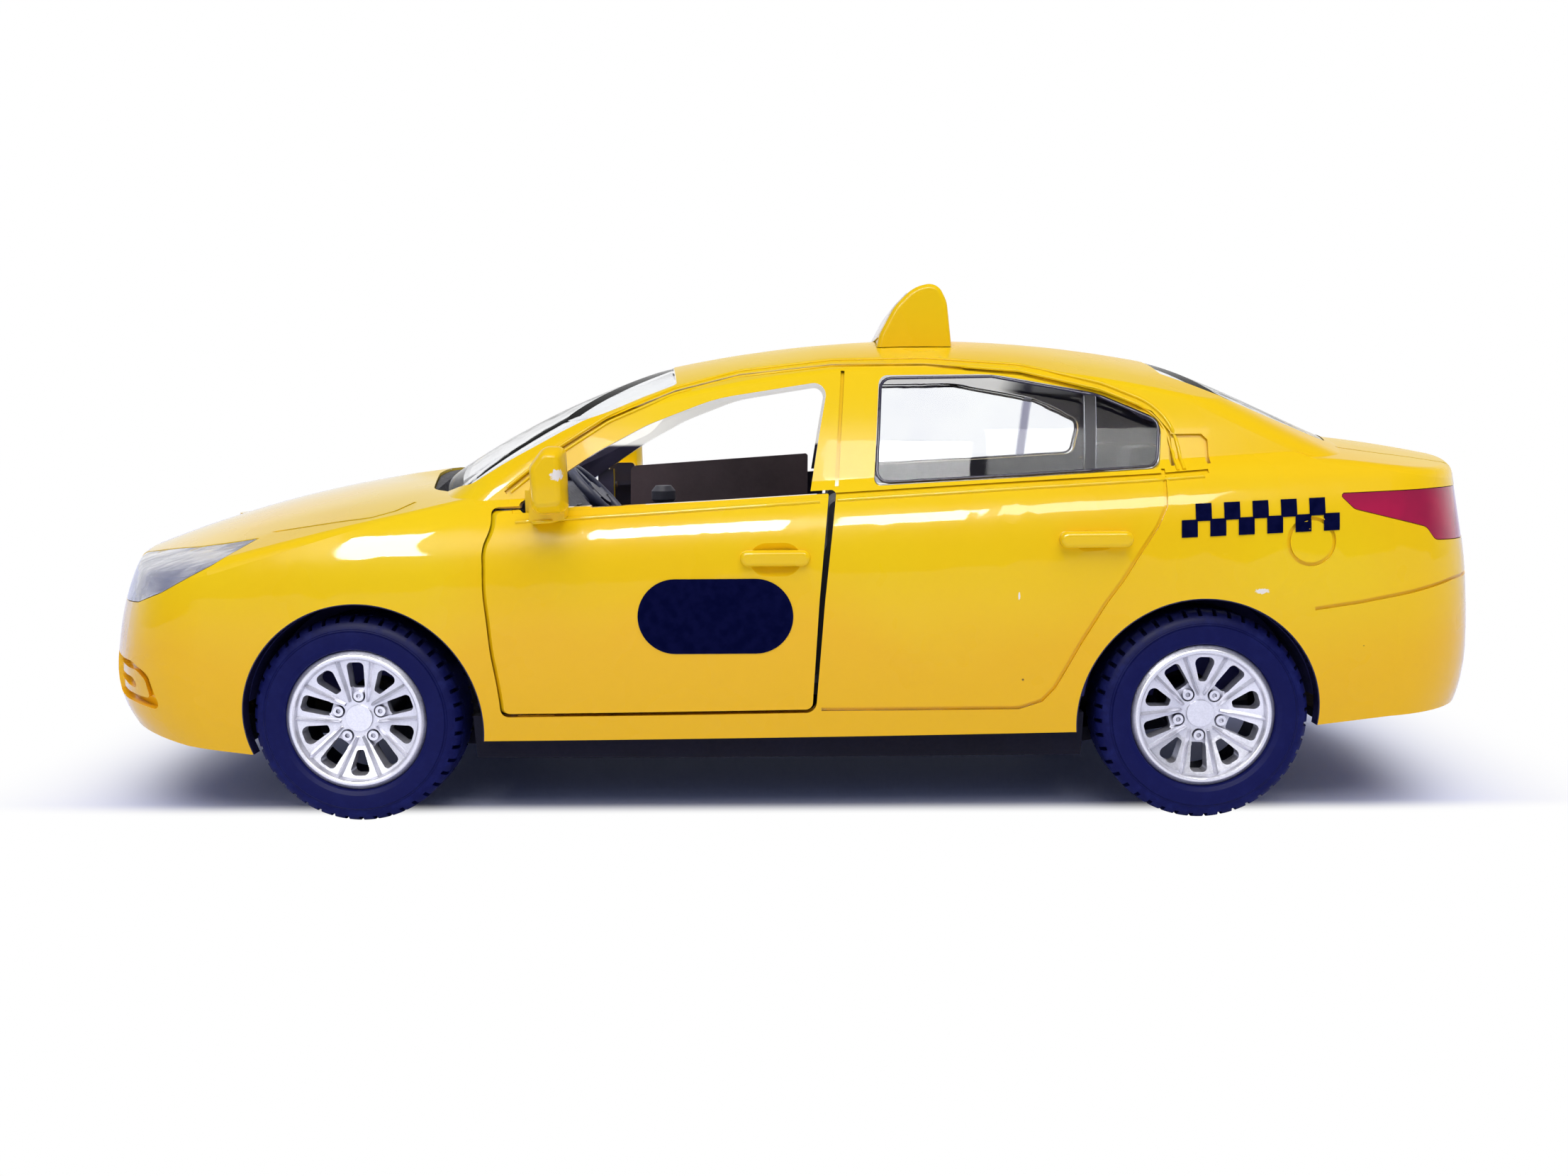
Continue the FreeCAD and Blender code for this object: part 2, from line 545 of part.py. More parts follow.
body = body.cut(cuts)
say("body openings")

hx, hy = X(DOOR_FRONT_X) - HINGE_BACK, HALF_WIDTH - HINGE_IN
boss_z = (Z(BOSS_Z[0]), Z(BOSS_Z[1]))
low_lug = box(hx - 1.5, hx + 1.5, hy - 1.1, hy + 2.0, Z(7.2), boss_z[0] - LUG_GAP)
low_lug = low_lug.common(lower_form(0.4))
lug_z = boss_z[1] + LUG_GAP
top_lug = fuse([
    cyl(LUG_R, (hx, hy, lug_z), (hx, hy, lug_z + 1.3)),
    box(hx - 1.0, hx + 0.7, hy - 1.0, hy, lug_z, lug_z + 1.3),
    box(hx - 1.0, hx + 0.7, hy - 1.0, hy + 0.1, lug_z + 1.2, Z(27.4)),
])
adds = [low_lug, mirrored(low_lug), top_lug, mirrored(top_lug)]
for x, top, foot in POSTS.values():
    adds.append(cyl(POST_R, (X(x), 0, Z(foot)), (X(x), 0, Z(top))))
dish = grips["rear"][1]
rings = [side_prism(w, Y(FOG_INNER_Y), HALF_WIDTH + 4) for w, depth in FOG_RINGS]
deep = lower_form(-0.5).cut(lower_form(FOG_RINGS[0][1]))
raised = lower_form(FOG_RINGS[1][1])
fog = rings[0].common(deep).cut(rings[1].common(raised).cut(rings[2]))
takes = side_grooves + [dish, fog]
body = body.cut(takes + [mirrored(t) for t in takes])
body = body.multiFuse(adds + [grips["rear"][0], mirrored(grips["rear"][0])])
holes = [cyl(SCREW_R, (X(x), 0, 5), (X(x), 0, Z(top) - 2.5)) for x, top, foot in POSTS.values()]
# room for the door's front edge as it turns in
swing = box(hx + 0.85, hx + 3.7, hy - 0.5, hy + 0.4, Z(25.05), Z(25.95))
holes += [swing, mirrored(swing)]
pin_ends = (
    (boss_z[0] - LUG_GAP - PIN_REACH - 0.15, boss_z[0]),
    (boss_z[1], boss_z[1] + LUG_GAP + PIN_REACH - 0.05))
for z0, z1 in pin_ends:
    pin_hole = cyl(PIN_R + PIN_FIT, (hx, hy, z0), (hx, hy, z1))
    holes += [pin_hole, mirrored(pin_hole)]
body = body.cut(holes)
pieces = {"body_shell": body}
say("body shell")

# ---------------------------------------------------------------- doors
door = low0.cut(low1).common(door_prism(-DOOR_GAP))
lug_room = cyl(LUG_R + 0.25, (hx, hy, boss_z[1]), (hx, hy, Z(26.3)))
door = door.cut([side_grooves[1], grips["front"][1], lug_room])
boss = fuse([
    cyl(BOSS_R, (hx, hy, boss_z[0]), (hx, hy, boss_z[1])),
    box(hx - 0.8, hx + 0.8, hy, HALF_WIDTH - 0.5, boss_z[0] + 0.3, boss_z[1]).common(lower_form(0.5)),
    cyl(PIN_R, (hx, hy, boss_z[0] - LUG_GAP - PIN_REACH), (hx, hy, boss_z[1] + LUG_GAP + PIN_REACH - 0.2)),
])
mirror_shell = [
    (16.2, 25.9, 0.7), (18.95, 25.7, 0.7), (19.15, 29.5, 1.1), (17.9, 31.1, 1.1), (16.3, 31.0, 0.6)]
# how far beyond the widest part of the body, share of the outline, lift
mirror_sections = ((-0.6, 0.72, -0.3), (0.9, 1.0, 0.0), (2.95, 0.74, 0.1))
mid_x, mid_z = 17.75, 28.4
rings = []
for out, share, lift in mirror_sections:
    y = HALF_WIDTH + out
    ring = [
        (mid_x + (x - mid_x) * share, mid_z + (z - mid_z) * share + lift, r * share)
        for x, z, r in mirror_shell]
    rings.append(rounded_wire([(X(x), Z(z), r) for x, z, r in ring], lambda u, v: V(u, y, v)))
housing = Part.makeLoft(rings, True, False)
housing = housing.makeFillet(0.5, [e for e in housing.Edges if e.BoundBox.YMin > HALF_WIDTH + 2.9])
mirror_foot = [(16.75, 25.2, 0.3), (19.6, 25.0, 0.3), (19.5, 28.0, 0.4), (16.75, 28.0, 0.4)]
foot = side_prism(mirror_foot, HALF_WIDTH - 2.1, HALF_WIDTH - 0.1)
door = door.multiFuse([boss, housing, foot, grips["front"][0]]).removeSplitter()
pieces["front_door_left"] = door
pieces["front_door_right"] = mirrored(door)

peg_spots = ((15.5, 13.0), (1.0, 13.0), (8.0, 21.0))
pegs = [cyl(0.8, (X(x), CARD_Y - 0.05, Z(z)), (X(x), HALF_WIDTH, Z(z))) for x, z in peg_spots]
inside = lower_form(SKIN + 0.04)
for side_name, (front_top, rear_top) in CARD_TOP.items():
    outline = [(17.3, 10.8, 0.5), (-2.2, 11.0, 0.5), (-2.5, rear_top, 0.3), (16.9, front_top, 0.6)]
    card = fuse([side_prism(outline, CARD_Y - CARD, CARD_Y)] + [p.common(inside) for p in pegs])
    pieces["door_card_" + side_name] = card if side_name == "left" else mirrored(card)
say("doors")

# ---------------------------------------------------------------- clear parts and lamps
pane = cabin_form(0.05, False).cut(cabin_form(0.05 + PANE)).cut(low0)
behind_cowl = box(-100, X(COWL_X) - SEAT, -60, 60, 0, 60)
pieces["windscreen"] = pane.common(lying(WINDSCREEN, 26.2, 60, -SEAT)).common(behind_cowl)
pieces["rear_window"] = pane.common(lying(REAR_SCREEN, 29.0, 60, -SEAT))
cowl = lower_form(0.25).cut(lower_form(1.15)).common(lying(WINDSCREEN, 26.2, 60, -SEAT))
cowl = cowl.common(box(X(COWL_X), 100, -60, 60, Z(26.2) + SEAT, 60))
pieces["cowl_trim"] = cowl
sill_gap = side_prism(REAR_WINDOW, Y(12), HALF_WIDTH + 8, -SEAT)
bar_zone = side_prism(strip(DIVIDER, 0.95), Y(12), HALF_WIDTH + 8)
side = fuse([
    cabin_form(0.12).cut(cabin_form(0.12 + PANE)).common(sill_gap),
    cabin_form(-0.12).cut(cabin_form(0.5)).common(bar_zone).common(sill_gap),
])
pieces["rear_side_window_left"] = side
pieces["rear_side_window_right"] = mirrored(side)
lens_skin = lower_form(0.05).cut(lower_form(1.0))
reflector_skin = lower_form(1.4).cut(lower_form(2.3))
for name, skin, prism in (
        ("headlamp_lens", lens_skin, head_lamp_prism(-SEAT)),
        ("headlamp_reflector", reflector_skin, head_lamp_prism(-SEAT)),
        ("tail_lamp", lens_skin, tail_lamp_prism(-SEAT))):
    lens = skin.common(prism)
    pieces[name + "_left"] = lens
    pieces[name + "_right"] = mirrored(lens)
grille_skin = lower_form(0.75).cut(lower_form(1.5))
bar_skin = lower_form(0.3).cut(lower_form(1.0))
for name, outline, levels in (
        ("upper_grille", UPPER_GRILLE, (18.7, 19.4)), ("lower_grille", LOWER_GRILLE, (10.6, 11.5, 12.4))):
    zone = end_prism(both_halves(outline, 0), 50, 70, -SEAT)
    bars = [box(X(50), X(70), -30, 30, Z(z), Z(z) + 0.3).common(bar_skin) for z in levels]
    pieces[name] = fuse([grille_skin] + bars).common(zone)
say("clear parts, lamps, grilles")

# ---------------------------------------------------------------- roof sign
half = Y(SIGN_HALF)
sign = side_prism(SIGN, -half, half)
ends = [e for e in sign.Edges if abs(e.BoundBox.YMax - e.BoundBox.YMin) < 1e-3]
sign = sign.makeFillet(0.45, [e for e in ends if e.BoundBox.ZMin > Z(38.0) and e.BoundBox.ZMax > Z(39.0)])
sign = sign.cut(cabin_form(-SEAT))
front = [(x - SIGN_FACE, z, r) for x, z, r in SIGN]
pocket = side_prism(SIGN, -half + 0.9, half - 0.9).cut(side_prism(front, -half, half))
pocket = pocket.common(box(X(-12.6), X(0), -half, half, Z(39.9), Z(43.9)))
pieces["roof_sign"] = sign.cut(pocket)
outer = side_prism([(x + 0.12, z, r) for x, z, r in SIGN], -half + 0.9 + SEAT, half - 0.9 - SEAT)
face = outer.cut(side_prism([(x - SIGN_FACE + SEAT, z, r) for x, z, r in SIGN], -half, half))
face = face.common(box(X(-12.6) + SEAT, X(0), -half, half, Z(39.9) + SEAT, Z(43.9) - SEAT))
pieces["roof_sign_face"] = face.cut(cabin_form(-2 * SEAT))
say("sign")

# ---------------------------------------------------------------- chassis base
rim = lower_form(SKIN + 0.2).common(box(-100, 100, -60, 60, 0, Z(BASE_TOP))).cut(under_prism(BASE_UNDERSIDE))
base = rim.cut(lower_form(SKIN + 1.4).cut(under_prism(BASE_UNDERSIDE, BASE_PLATE)))
adds, cuts = [], []
for end, x in AXLE_X.items():
    for s in (-1, 1):
        y0, y1 = sorted((s * BEARING_Y[0], s * BEARING_Y[1]))
        adds.append(box(x - 2.4, x + 2.4, y0, y1, Z(6.4), TYRE_R + 2.2))
        y0, y1 = sorted((s * (WHEEL_BACK_Y - 0.9), s * 60))
        cuts.append(box(x - TYRE_R - 0.9, x + TYRE_R + 0.9, y0, y1, -5, 40))
        y0, y1 = sorted((s * (BEARING_Y[1] + 0.05), s * 30))
        cuts.append(cyl(HUB_R + 0.5, (x, y0, TYRE_R), (x, y1, TYRE_R)))
        y0, y1 = sorted((s * (hy - 1.7), s * 60))
        cuts.append(box(hx - 2.1, hx + 2.1, y0, y1, Z(6.9), 40))
    cuts.append(cyl(AXLE_R + AXLE_FIT, (x, -30, TYRE_R), (x, 30, TYRE_R)))
for x, top, foot in POSTS.values():
    adds.append(cyl(POST_R + 1.0, (X(x), 0, Z(foot) - 2.2), (X(x), 0, Z(foot) - SEAT)))
    cuts.append(cyl(SCREW_R + 0.15, (X(x), 0, 0), (X(x), 0, 20)))
    cuts.append(cyl(1.7, (X(x), 0, 0), (X(x), 0, Z(foot) - 1.1)))
    cuts.append(cyl(POST_R + 0.15, (X(x), 0, Z(foot) - SEAT), (X(x), 0, 40)))
base = base.multiFuse(adds).cut(cuts)
pieces["chassis_base"] = base
for end, (x, top, foot) in POSTS.items():
    seat_z = Z(foot) - 1.1 - SEAT
    screw = fuse([
        cyl(1.5, (X(x), 0, seat_z - 0.8), (X(x), 0, seat_z)),
        cyl(SCREW_R, (X(x), 0, seat_z), (X(x), 0, Z(foot) + 5.0))])
    for a, b in ((1.0, 0.14), (0.14, 1.0)):
        screw = screw.cut(box(X(x) - a, X(x) + a, -b, b, seat_z - 1, seat_z - 0.35))
    pieces["base_screw_" + end] = screw
say("base")


# ---------------------------------------------------------------- wheels
def build_rim():
    """Left-hand rim about the Y axis, outer face to +Y, with ridged spokes in pairs round the nut pockets."""
    y = WHEEL_FACE_Y
    k = RIM_R / 5.83
    hub_in = BEARING_Y[1] + 0.25
    solid = revolve([
        (AXLE_R + 0.02, y - 1.4), (1.3 * k, y - 1.4), (2.4 * k, y - 1.3), (5.0 * k, y - 0.7),
        (5.12 * k, y - 0.3), ((5.2 * k, y - 0.2), (5.35 * k, y - 0.16), (5.5 * k, y - 0.2)), (RIM_R, y - 0.5),
        (RIM_R, y - TYRE_WIDTH + 0.4), (RIM_R - 0.6, y - TYRE_WIDTH + 0.4), (RIM_R - 0.6, y - 2.1),
        (2.25 * k, y - 2.7), (HUB_R, y - 2.9), (HUB_R, hub_in), (AXLE_R + 0.02, hub_in)])
    cuts, adds = [], [cyl(1.1 * k, (0, y - 1.7, 0), (0, y - 1.2, 0))]
    for i in range(NUTS):
        turn = -90 + 360 / NUTS * i
        for (r0, half0, round0), (r1, half1, round1), aside in RIM_SLOTS:
            outline = [
                (r0 * k, -half0 * k, round0), (r1 * k, -half1 * k, round1),
                (r1 * k, half1 * k, round1), (r0 * k, half0 * k, round0)]
            slot = Part.Face(rounded_wire(outline, lambda u, v: V(u, y - 6, v))).extrude(V(0, 8, 0))
            slot.rotate(V(0, 0, 0), V(0, 1, 0), turn + aside)
            cuts.append(slot)
        at = NUT_CIRCLE_R * k
        pocket = fuse([
            cyl(0.56, (at, y - 1.75, 0), (at, y, 0)),
            box(at, at + 0.8 * k, y - 1.75, y, -0.56, 0.56)])
        nut = cyl(0.42, (at, y - 2.0, 0), (at, y - 1.3, 0)).cut(cyl(0.2, (at, y - 1.5, 0), (at, y, 0)))
        ridges = []
        for side in (-1, 1):
            ends = []
            for out, beside, half, foot, crest in RIDGE:
                corners = [
                    V(out * k, y - foot, side * (beside - half) * k), V(out * k, y - crest, side * beside * k),
                    V(out * k, y - foot, side * (beside + half) * k)]
                ends.append(Part.makePolygon(corners + corners[:1]))
            ridges.append(Part.makeLoft(ends, True, True))
        for shape in [pocket, nut] + ridges:
            shape.rotate(V(0, 0, 0), V(0, 1, 0), turn)
        cuts.append(pocket)
        adds += [nut] + ridges
    return solid.cut(cuts).multiFuse(adds).removeSplitter()


def build_tyre():
    y, w, r = WHEEL_FACE_Y, TYRE_WIDTH, TYRE_R
    inner = RIM_R + 0.03
    y2 = y - w
    solid = revolve([
        (inner, y - 0.5), (inner + 0.1, y - 0.2),
        ((inner + 0.45, y - 0.06), (inner + 1.0, y), (r - 1.25, y - 0.03)),
        (r - 1.2, y - 0.12), ((r - 0.9, y - 0.2), (r - 0.25, y - 0.6), (r, y - 1.3)),
        ((r, y2 + 1.3), (r - 0.25, y2 + 0.6), (r - 0.9, y2 + 0.2)), (r - 1.2, y2 + 0.12),
        ((r - 1.25, y2 + 0.03), (inner + 1.0, y2), (inner + 0.45, y2 + 0.06)),
        (inner + 0.1, y2 + 0.2), (inner, y2 + 0.5)])
    notches = []
    for i in range(TREAD_BLOCKS):
        for y_from, y_to, turn in ((y - 1.9, y + 0.5, 0.0), (y2 - 0.5, y2 + 1.9, 0.5)):
            notch = box(r - 0.45, r + 0.5, y_from, y_to, -0.17, 0.17)
            notch.rotate(V(0, 0, 0), V(0, 1, 0), 360 / TREAD_BLOCKS * (i + turn))
            notches.append(notch)
    return solid.cut(Part.makeCompound(notches))


rim, tyre = build_rim(), build_tyre()
for end, x in AXLE_X.items():
    tip = WHEEL_FACE_Y - 1.8
    pieces[end + "_axle"] = cyl(AXLE_R, (x, -tip, TYRE_R), (x, tip, TYRE_R))
    for side_name in ("left", "right"):
        for name, shape in (("rim", rim), ("tyre", tyre)):
            s = mirrored(shape) if side_name == "right" else shape.copy()
            if end == "rear":
                s.rotate(V(0, 0, 0), V(0, 1, 0), REAR_WHEEL_TURN)
            s.translate(V(x, 0, TYRE_R))
            pieces["%s_%s_%s" % (end, name, side_name)] = s
say("wheels")

# ---------------------------------------------------------------- drive box and interior
mx = AXLE_X["rear"]
motor = box(mx - 8.5, mx + 7.5, -8.0, 8.0, 0, Z(13.2))
motor = motor.cut(cyl(AXLE_R + 0.3, (mx, -20, TYRE_R), (mx, 20, TYRE_R)))
pieces["pull_back_motor"] = motor.cut(under_prism(BASE_UNDERSIDE, BASE_PLATE + SEAT))
wide = CARD_Y - CARD - SIDE_ROOM
slim = WHEEL_BACK_Y - WHEEL_ROOM
pieces["interior_floor"] = fuse([
    box(X(-24.5), X(18.0), -wide, wide, Z(FLOOR_Z), Z(FLOOR_Z) + 1.0),
    box(X(17.0), X(23.5), -slim, slim, Z(FLOOR_Z), Z(FLOOR_Z) + 1.0),
    box(X(-40.0), X(-24.0), -slim, slim, Z(13.6), Z(13.6) + 1.0),
    box(X(-24.9), X(-24.0), -slim, slim, Z(FLOOR_Z), Z(13.6) + 1.0),
    box(X(-14.8), X(20.0), -1.8, 1.8, Z(FLOOR_Z), Z(13.5)),
    Part.makeCone(1.5, 0.55, Z(25.0) - Z(13.0), V(X(11.3), 0, Z(13.0))),
    Part.makeCone(0.75, 1.15, 0.6, V(X(11.3), 0, Z(24.7))),
    Part.makeCylinder(1.15, 0.8, V(X(11.3), 0, Z(24.7) + 0.6)),
    Part.makeCone(1.15, 0.75, 0.5, V(X(11.3), 0, Z(24.7) + 1.4)),
])
FLOOR_TOP, STEP_TOP = FLOOR_Z + 1.05, 14.65
SEAT_SIDE = [
    (9.5, FLOOR_TOP, 0.5), (10.0, 15.0, 1.2), (-0.5, 14.0, 1.0), (-4.2, 22.2, 0.8), (-4.4, 26.0, 0.85),
    (-6.3, 26.0, 0.85), (-6.4, 22.0, 1.0), (-4.0, FLOOR_TOP, 0.5)]
REAR_SEAT_SIDE = [
    (-15.0, FLOOR_TOP, 0.4), (-14.8, 16.6, 1.4), (-26.2, 15.8, 1.0), (-29.8, 26.4, 1.0), (-33.6, 26.4, 1.0),
    (-30.0, STEP_TOP, 0.3), (-23.9, STEP_TOP, 0.0), (-23.9, FLOOR_TOP, 0.0)]
seat = side_prism(SEAT_SIDE, Y(4.0), slim)
pieces["front_seat_left"] = seat
pieces["front_seat_right"] = mirrored(seat)
HEAD_REST = [(-30.6, 26.0, 0.4), (-30.9, 30.1, 1.0), (-33.9, 30.3, 1.0), (-33.2, 26.0, 0.4)]
rests = [side_prism(HEAD_REST, s * Y(8) - 2.6, s * Y(8) + 2.6) for s in (-1, 1)]
pieces["rear_seat"] = fuse([side_prism(REAR_SEAT_SIDE, -slim, slim)] + rests)
DASH_SIDE = [(19.0, 18.6, 0.6), (18.6, 24.2, 1.4), (21.2, 26.4, 1.6), (26.0, 26.2, 0.5), (26.0, 20.0, 0.5)]
COLUMN_SIDE = [(17.0, 24.4, 0.2), (19.5, 22.0, 0.0), (20.5, 23.4, 0.0), (18.1, 25.5, 0.2)]
dash_half = Y(15.9)
dash = fuse([
    side_prism(DASH_SIDE, -dash_half, dash_half),
    box(X(20.5), X(23.4), -dash_half, dash_half, Z(FLOOR_TOP), Z(20.0)),
    side_prism(COLUMN_SIDE, Y(8) - 0.8, Y(8) + 0.8),
])
pieces["dashboard"] = dash
wheel = fuse([
    Part.makeTorus(3.35, 0.42),
    Part.makeCone(1.0, 1.3, 1.3, V(0, 0, -1.0)),
    box(-3.3, 3.3, -0.45, 0.45, -0.25, 0.25),
    box(-0.45, 0.45, -3.3, 0, -0.25, 0.25),
])
wheel.rotate(V(0, 0, 0), V(0, 0, 1), 90)
wheel.rotate(V(0, 0, 0), V(0, 1, 0), -46)
wheel.translate(V(X(16.4), Y(8.0), Z(26.3)))
pieces["steering_wheel"] = wheel
say("interior")

# ---------------------------------------------------------------- files
os.makedirs("parts", exist_ok=True)
for name, shape in pieces.items():
    solids = shape.Solids
    if len(solids) != 1 or not shape.isValid():
        print("CHECK", name, len(solids), shape.isValid(), [round(s.Volume, 3) for s in solids][:6])
    (solids[0] if len(solids) == 1 else shape).exportStep("parts/%s.step" % name)
say("%d pieces" % len(pieces))
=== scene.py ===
"""Looks of a small die-cast toy taxi: enamel, prints, clear parts, lamps, wheels, cabin and studio."""

import math

import bmesh
import bpy
from mathutils import Matrix, Vector
from mathutils.bvhtree import BVHTree


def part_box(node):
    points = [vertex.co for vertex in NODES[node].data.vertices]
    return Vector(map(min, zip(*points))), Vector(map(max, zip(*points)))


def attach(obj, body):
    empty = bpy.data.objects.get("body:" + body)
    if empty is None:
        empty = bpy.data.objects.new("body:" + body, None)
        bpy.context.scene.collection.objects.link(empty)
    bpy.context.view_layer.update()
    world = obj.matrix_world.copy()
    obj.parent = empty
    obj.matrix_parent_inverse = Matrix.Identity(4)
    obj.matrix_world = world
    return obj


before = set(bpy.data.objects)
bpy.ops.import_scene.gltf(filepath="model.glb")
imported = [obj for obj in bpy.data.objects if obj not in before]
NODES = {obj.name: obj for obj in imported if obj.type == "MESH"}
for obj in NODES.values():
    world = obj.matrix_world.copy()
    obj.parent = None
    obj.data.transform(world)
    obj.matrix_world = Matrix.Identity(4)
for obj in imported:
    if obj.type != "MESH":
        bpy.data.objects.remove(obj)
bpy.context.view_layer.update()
MM = 0.001

bl_info = {
    "name": "Die-cast toy taxi looks",
    "version": (1, 0, 0),
    "blender": (4, 5, 0),
    "location": "3D View > Sidebar > Toy Taxi",
    "description": "Finishes, prints and studio for a small die-cast toy taxi",
    "category": "Object",
}


# -------- settings a user would change
class EnamelSettings(bpy.types.PropertyGroup):
    """The yellow enamel on the castings and its wear."""

    colour: bpy.props.FloatVectorProperty(
        name="Enamel colour", description="Main colour of the enamel",
        subtype="COLOR", size=4, min=0, max=1, default=(0.93, 0.635, 0.004, 1.0))
    # This colour also serves as the painted shade low on the body.
    deep_and_shade_colour: bpy.props.FloatVectorProperty(
        name="Deep colour", description="Colour where the enamel has pooled thicker",
        subtype="COLOR", size=4, min=0, max=1, default=(0.92, 0.515, 0.003, 1.0))
    ripple: bpy.props.FloatProperty(
        name="Ripple", description="Distance between the soft waves of the sprayed enamel",
        subtype="DISTANCE", unit="LENGTH", default=1.6 * MM, min=0.1 * MM)
    # This also sets how dark the painted shade in seams and corners is.
    grime_and_shade: bpy.props.FloatProperty(
        name="Grime", description="How dark the dirt in seams and corners is",
        subtype="FACTOR", min=0, max=1, default=0.75)


class PrintSettings(bpy.types.PropertyGroup):
    """The black prints on the sides."""

    square_width: bpy.props.FloatProperty(
        name="Square width", description="Width of one printed square",
        subtype="DISTANCE", unit="LENGTH", default=1.136 * MM)
    square_height: bpy.props.FloatProperty(
        name="Square height", description="Height of one printed square",
        subtype="DISTANCE", unit="LENGTH", default=1.25 * MM)
    squares: bpy.props.IntProperty(
        name="Squares", description="Squares in the lower row; the upper row has one fewer", default=6, min=2)
    start: bpy.props.FloatVectorProperty(
        name="Start", description="Front lower corner of the band, as x and z",
        subtype="XYZ_LENGTH", unit="LENGTH", size=2, default=(-32.42 * MM, 23.38 * MM))
    rise: bpy.props.FloatProperty(
        name="Rise", description="Climb towards the tail, as height over length", default=0.038)
    pill_front: bpy.props.FloatProperty(
        name="Blank front", description="Front end of the blank on the door",
        subtype="DISTANCE", unit="LENGTH", default=11.1 * MM)
    pill_rear: bpy.props.FloatProperty(
        name="Blank rear", description="Rear end of the blank on the door",
        subtype="DISTANCE", unit="LENGTH", default=-1.4 * MM)
    pill_middle: bpy.props.FloatProperty(
        name="Blank middle", description="Height of the blank's middle line",
        subtype="DISTANCE", unit="LENGTH", default=17.35 * MM)
    pill_height: bpy.props.FloatProperty(
        name="Blank height", description="Height of the blank",
        subtype="DISTANCE", unit="LENGTH", default=6.05 * MM)
    film: bpy.props.FloatProperty(
        name="Film", description="How far the print stands off the enamel",
        subtype="DISTANCE", unit="LENGTH", default=0.045 * MM)
    bleed: bpy.props.FloatProperty(
        name="Ink spread", description="How much larger than its step a square is printed",
        subtype="DISTANCE", unit="LENGTH", default=0.14 * MM)


class WheelSettings(bpy.types.PropertyGroup):
    """Tyres and rims."""

    rubber: bpy.props.FloatVectorProperty(
        name="Rubber colour", description="Colour of the tyres",
        subtype="COLOR", size=4, min=0, max=1, default=(0.006, 0.008, 0.072, 1.0))
    silver: bpy.props.FloatVectorProperty(
        name="Silver colour", description="Colour of the rims' silver",
        subtype="COLOR", size=4, min=0, max=1, default=(0.80, 0.80, 0.86, 1.0))


class StageSettings(bpy.types.PropertyGroup):
    """Floor, light and camera."""

    floor_colour: bpy.props.FloatVectorProperty(
        name="Floor colour", description="Colour of the table the toy stands on",
        subtype="COLOR", size=4, min=0, max=1, default=(0.97, 0.97, 0.97, 1.0))
    sky: bpy.props.FloatProperty(
        name="Sky", description="Strength of the light from all around", default=0.50, min=0)
    sun: bpy.props.FloatProperty(
        name="Main light", description="Strength of the soft main light", default=2.4, min=0)
    gleam: bpy.props.FloatProperty(
        name="Gleam", description="Brightness of the panes that the enamel reflects", default=52.0, min=0)


# -------- node helpers
MIX_INPUTS, MIX_RESULT = (0, 6, 7), 2  # a Mix node's sockets for its factor, its two colours and the result


def put(tree, socket, value):
    """Sets a socket to a value, or links it to another socket."""
    if isinstance(value, bpy.types.NodeSocket):
        tree.links.new(value, socket)
    else:
        socket.default_value = value


def fill(tree, made, **inputs):
    """Sets or links a node's sockets by name, with _ for a space."""
    for key, value in inputs.items():
        put(tree, made.inputs[key.replace("_", " ")], value)


def node(tree, kind, settings=None, **inputs):
    """Adds a node; settings are its own properties, and inputs go to its sockets."""
    made = tree.nodes.new(kind)
    for key, value in (settings or {}).items():
        setattr(made, key, value)
    fill(tree, made, **inputs)
    return made


def in_order(tree, made, values):
    """Sets or links a node's first sockets, in their order."""
    for socket, value in zip(made.inputs, values):
        put(tree, socket, value)
    return made


def maths(tree, operation, *values, clamp=False):
    """One maths node and its result."""
    made = node(tree, "ShaderNodeMath", {"operation": operation, "use_clamp": clamp})
    return in_order(tree, made, values).outputs[0]


def vector_maths(tree, operation, *values):
    """One vector maths node and its result, which for a length or a distance is a number."""
    made = node(tree, "ShaderNodeVectorMath", {"operation": operation})
    return in_order(tree, made, values).outputs["Value" if operation in ("LENGTH", "DISTANCE") else "Vector"]


def product(tree, first, *others):
    """The values multiplied."""
    for other in others:
        first = maths(tree, "MULTIPLY", first, other)
    return first


def largest(tree, first, *others):
    """The largest of the values."""
    for other in others:
        first = maths(tree, "MAXIMUM", first, other)
    return first


def diagonal(tree, across, up):
    """Length of the slope over two sides."""
    return maths(tree, "SQRT", maths(tree, "ADD", product(tree, across, across), product(tree, up, up)))


def ramp(tree, value, low, high, to_low=0.0, to_high=1.0):
    """Smooth step of a value from low to high."""
    made = node(tree, "ShaderNodeMapRange", {"interpolation_type": "SMOOTHSTEP"})
    return in_order(tree, made, (value, low, high, to_low, to_high)).outputs[0]


def blend(tree, factor, first, second):
    """Colour mixed from first to second by factor."""
    made = node(tree, "ShaderNodeMix", {"data_type": "RGBA"})
    for number, value in zip(MIX_INPUTS, (factor, first, second)):
        put(tree, made.inputs[number], value)
    return made.outputs[MIX_RESULT]


def split(tree, vector):
    """A vector's parts, as outputs X, Y and Z."""
    return node(tree, "ShaderNodeSeparateXYZ", Vector=vector).outputs


def join(tree, x, y, z):
    """A vector from its parts."""
    return node(tree, "ShaderNodeCombineXYZ", X=x, Y=y, Z=z).outputs[0]


def place(tree):
    """Object coordinates in metres."""
    return node(tree, "ShaderNodeTexCoord").outputs["Object"]


def noise(tree, wave, detail=2.0, roughness=0.5, coordinates=None):
    """Noise whose waves are this many metres long; the length may be a socket."""
    spot = place(tree) if coordinates is None else coordinates
    scale = maths(tree, "DIVIDE", 1.0, wave) if isinstance(wave, bpy.types.NodeSocket) else 1.0 / wave
    made = node(tree, "ShaderNodeTexNoise", Vector=spot, Scale=scale, Detail=detail, Roughness=roughness)
    return made.outputs["Fac"]


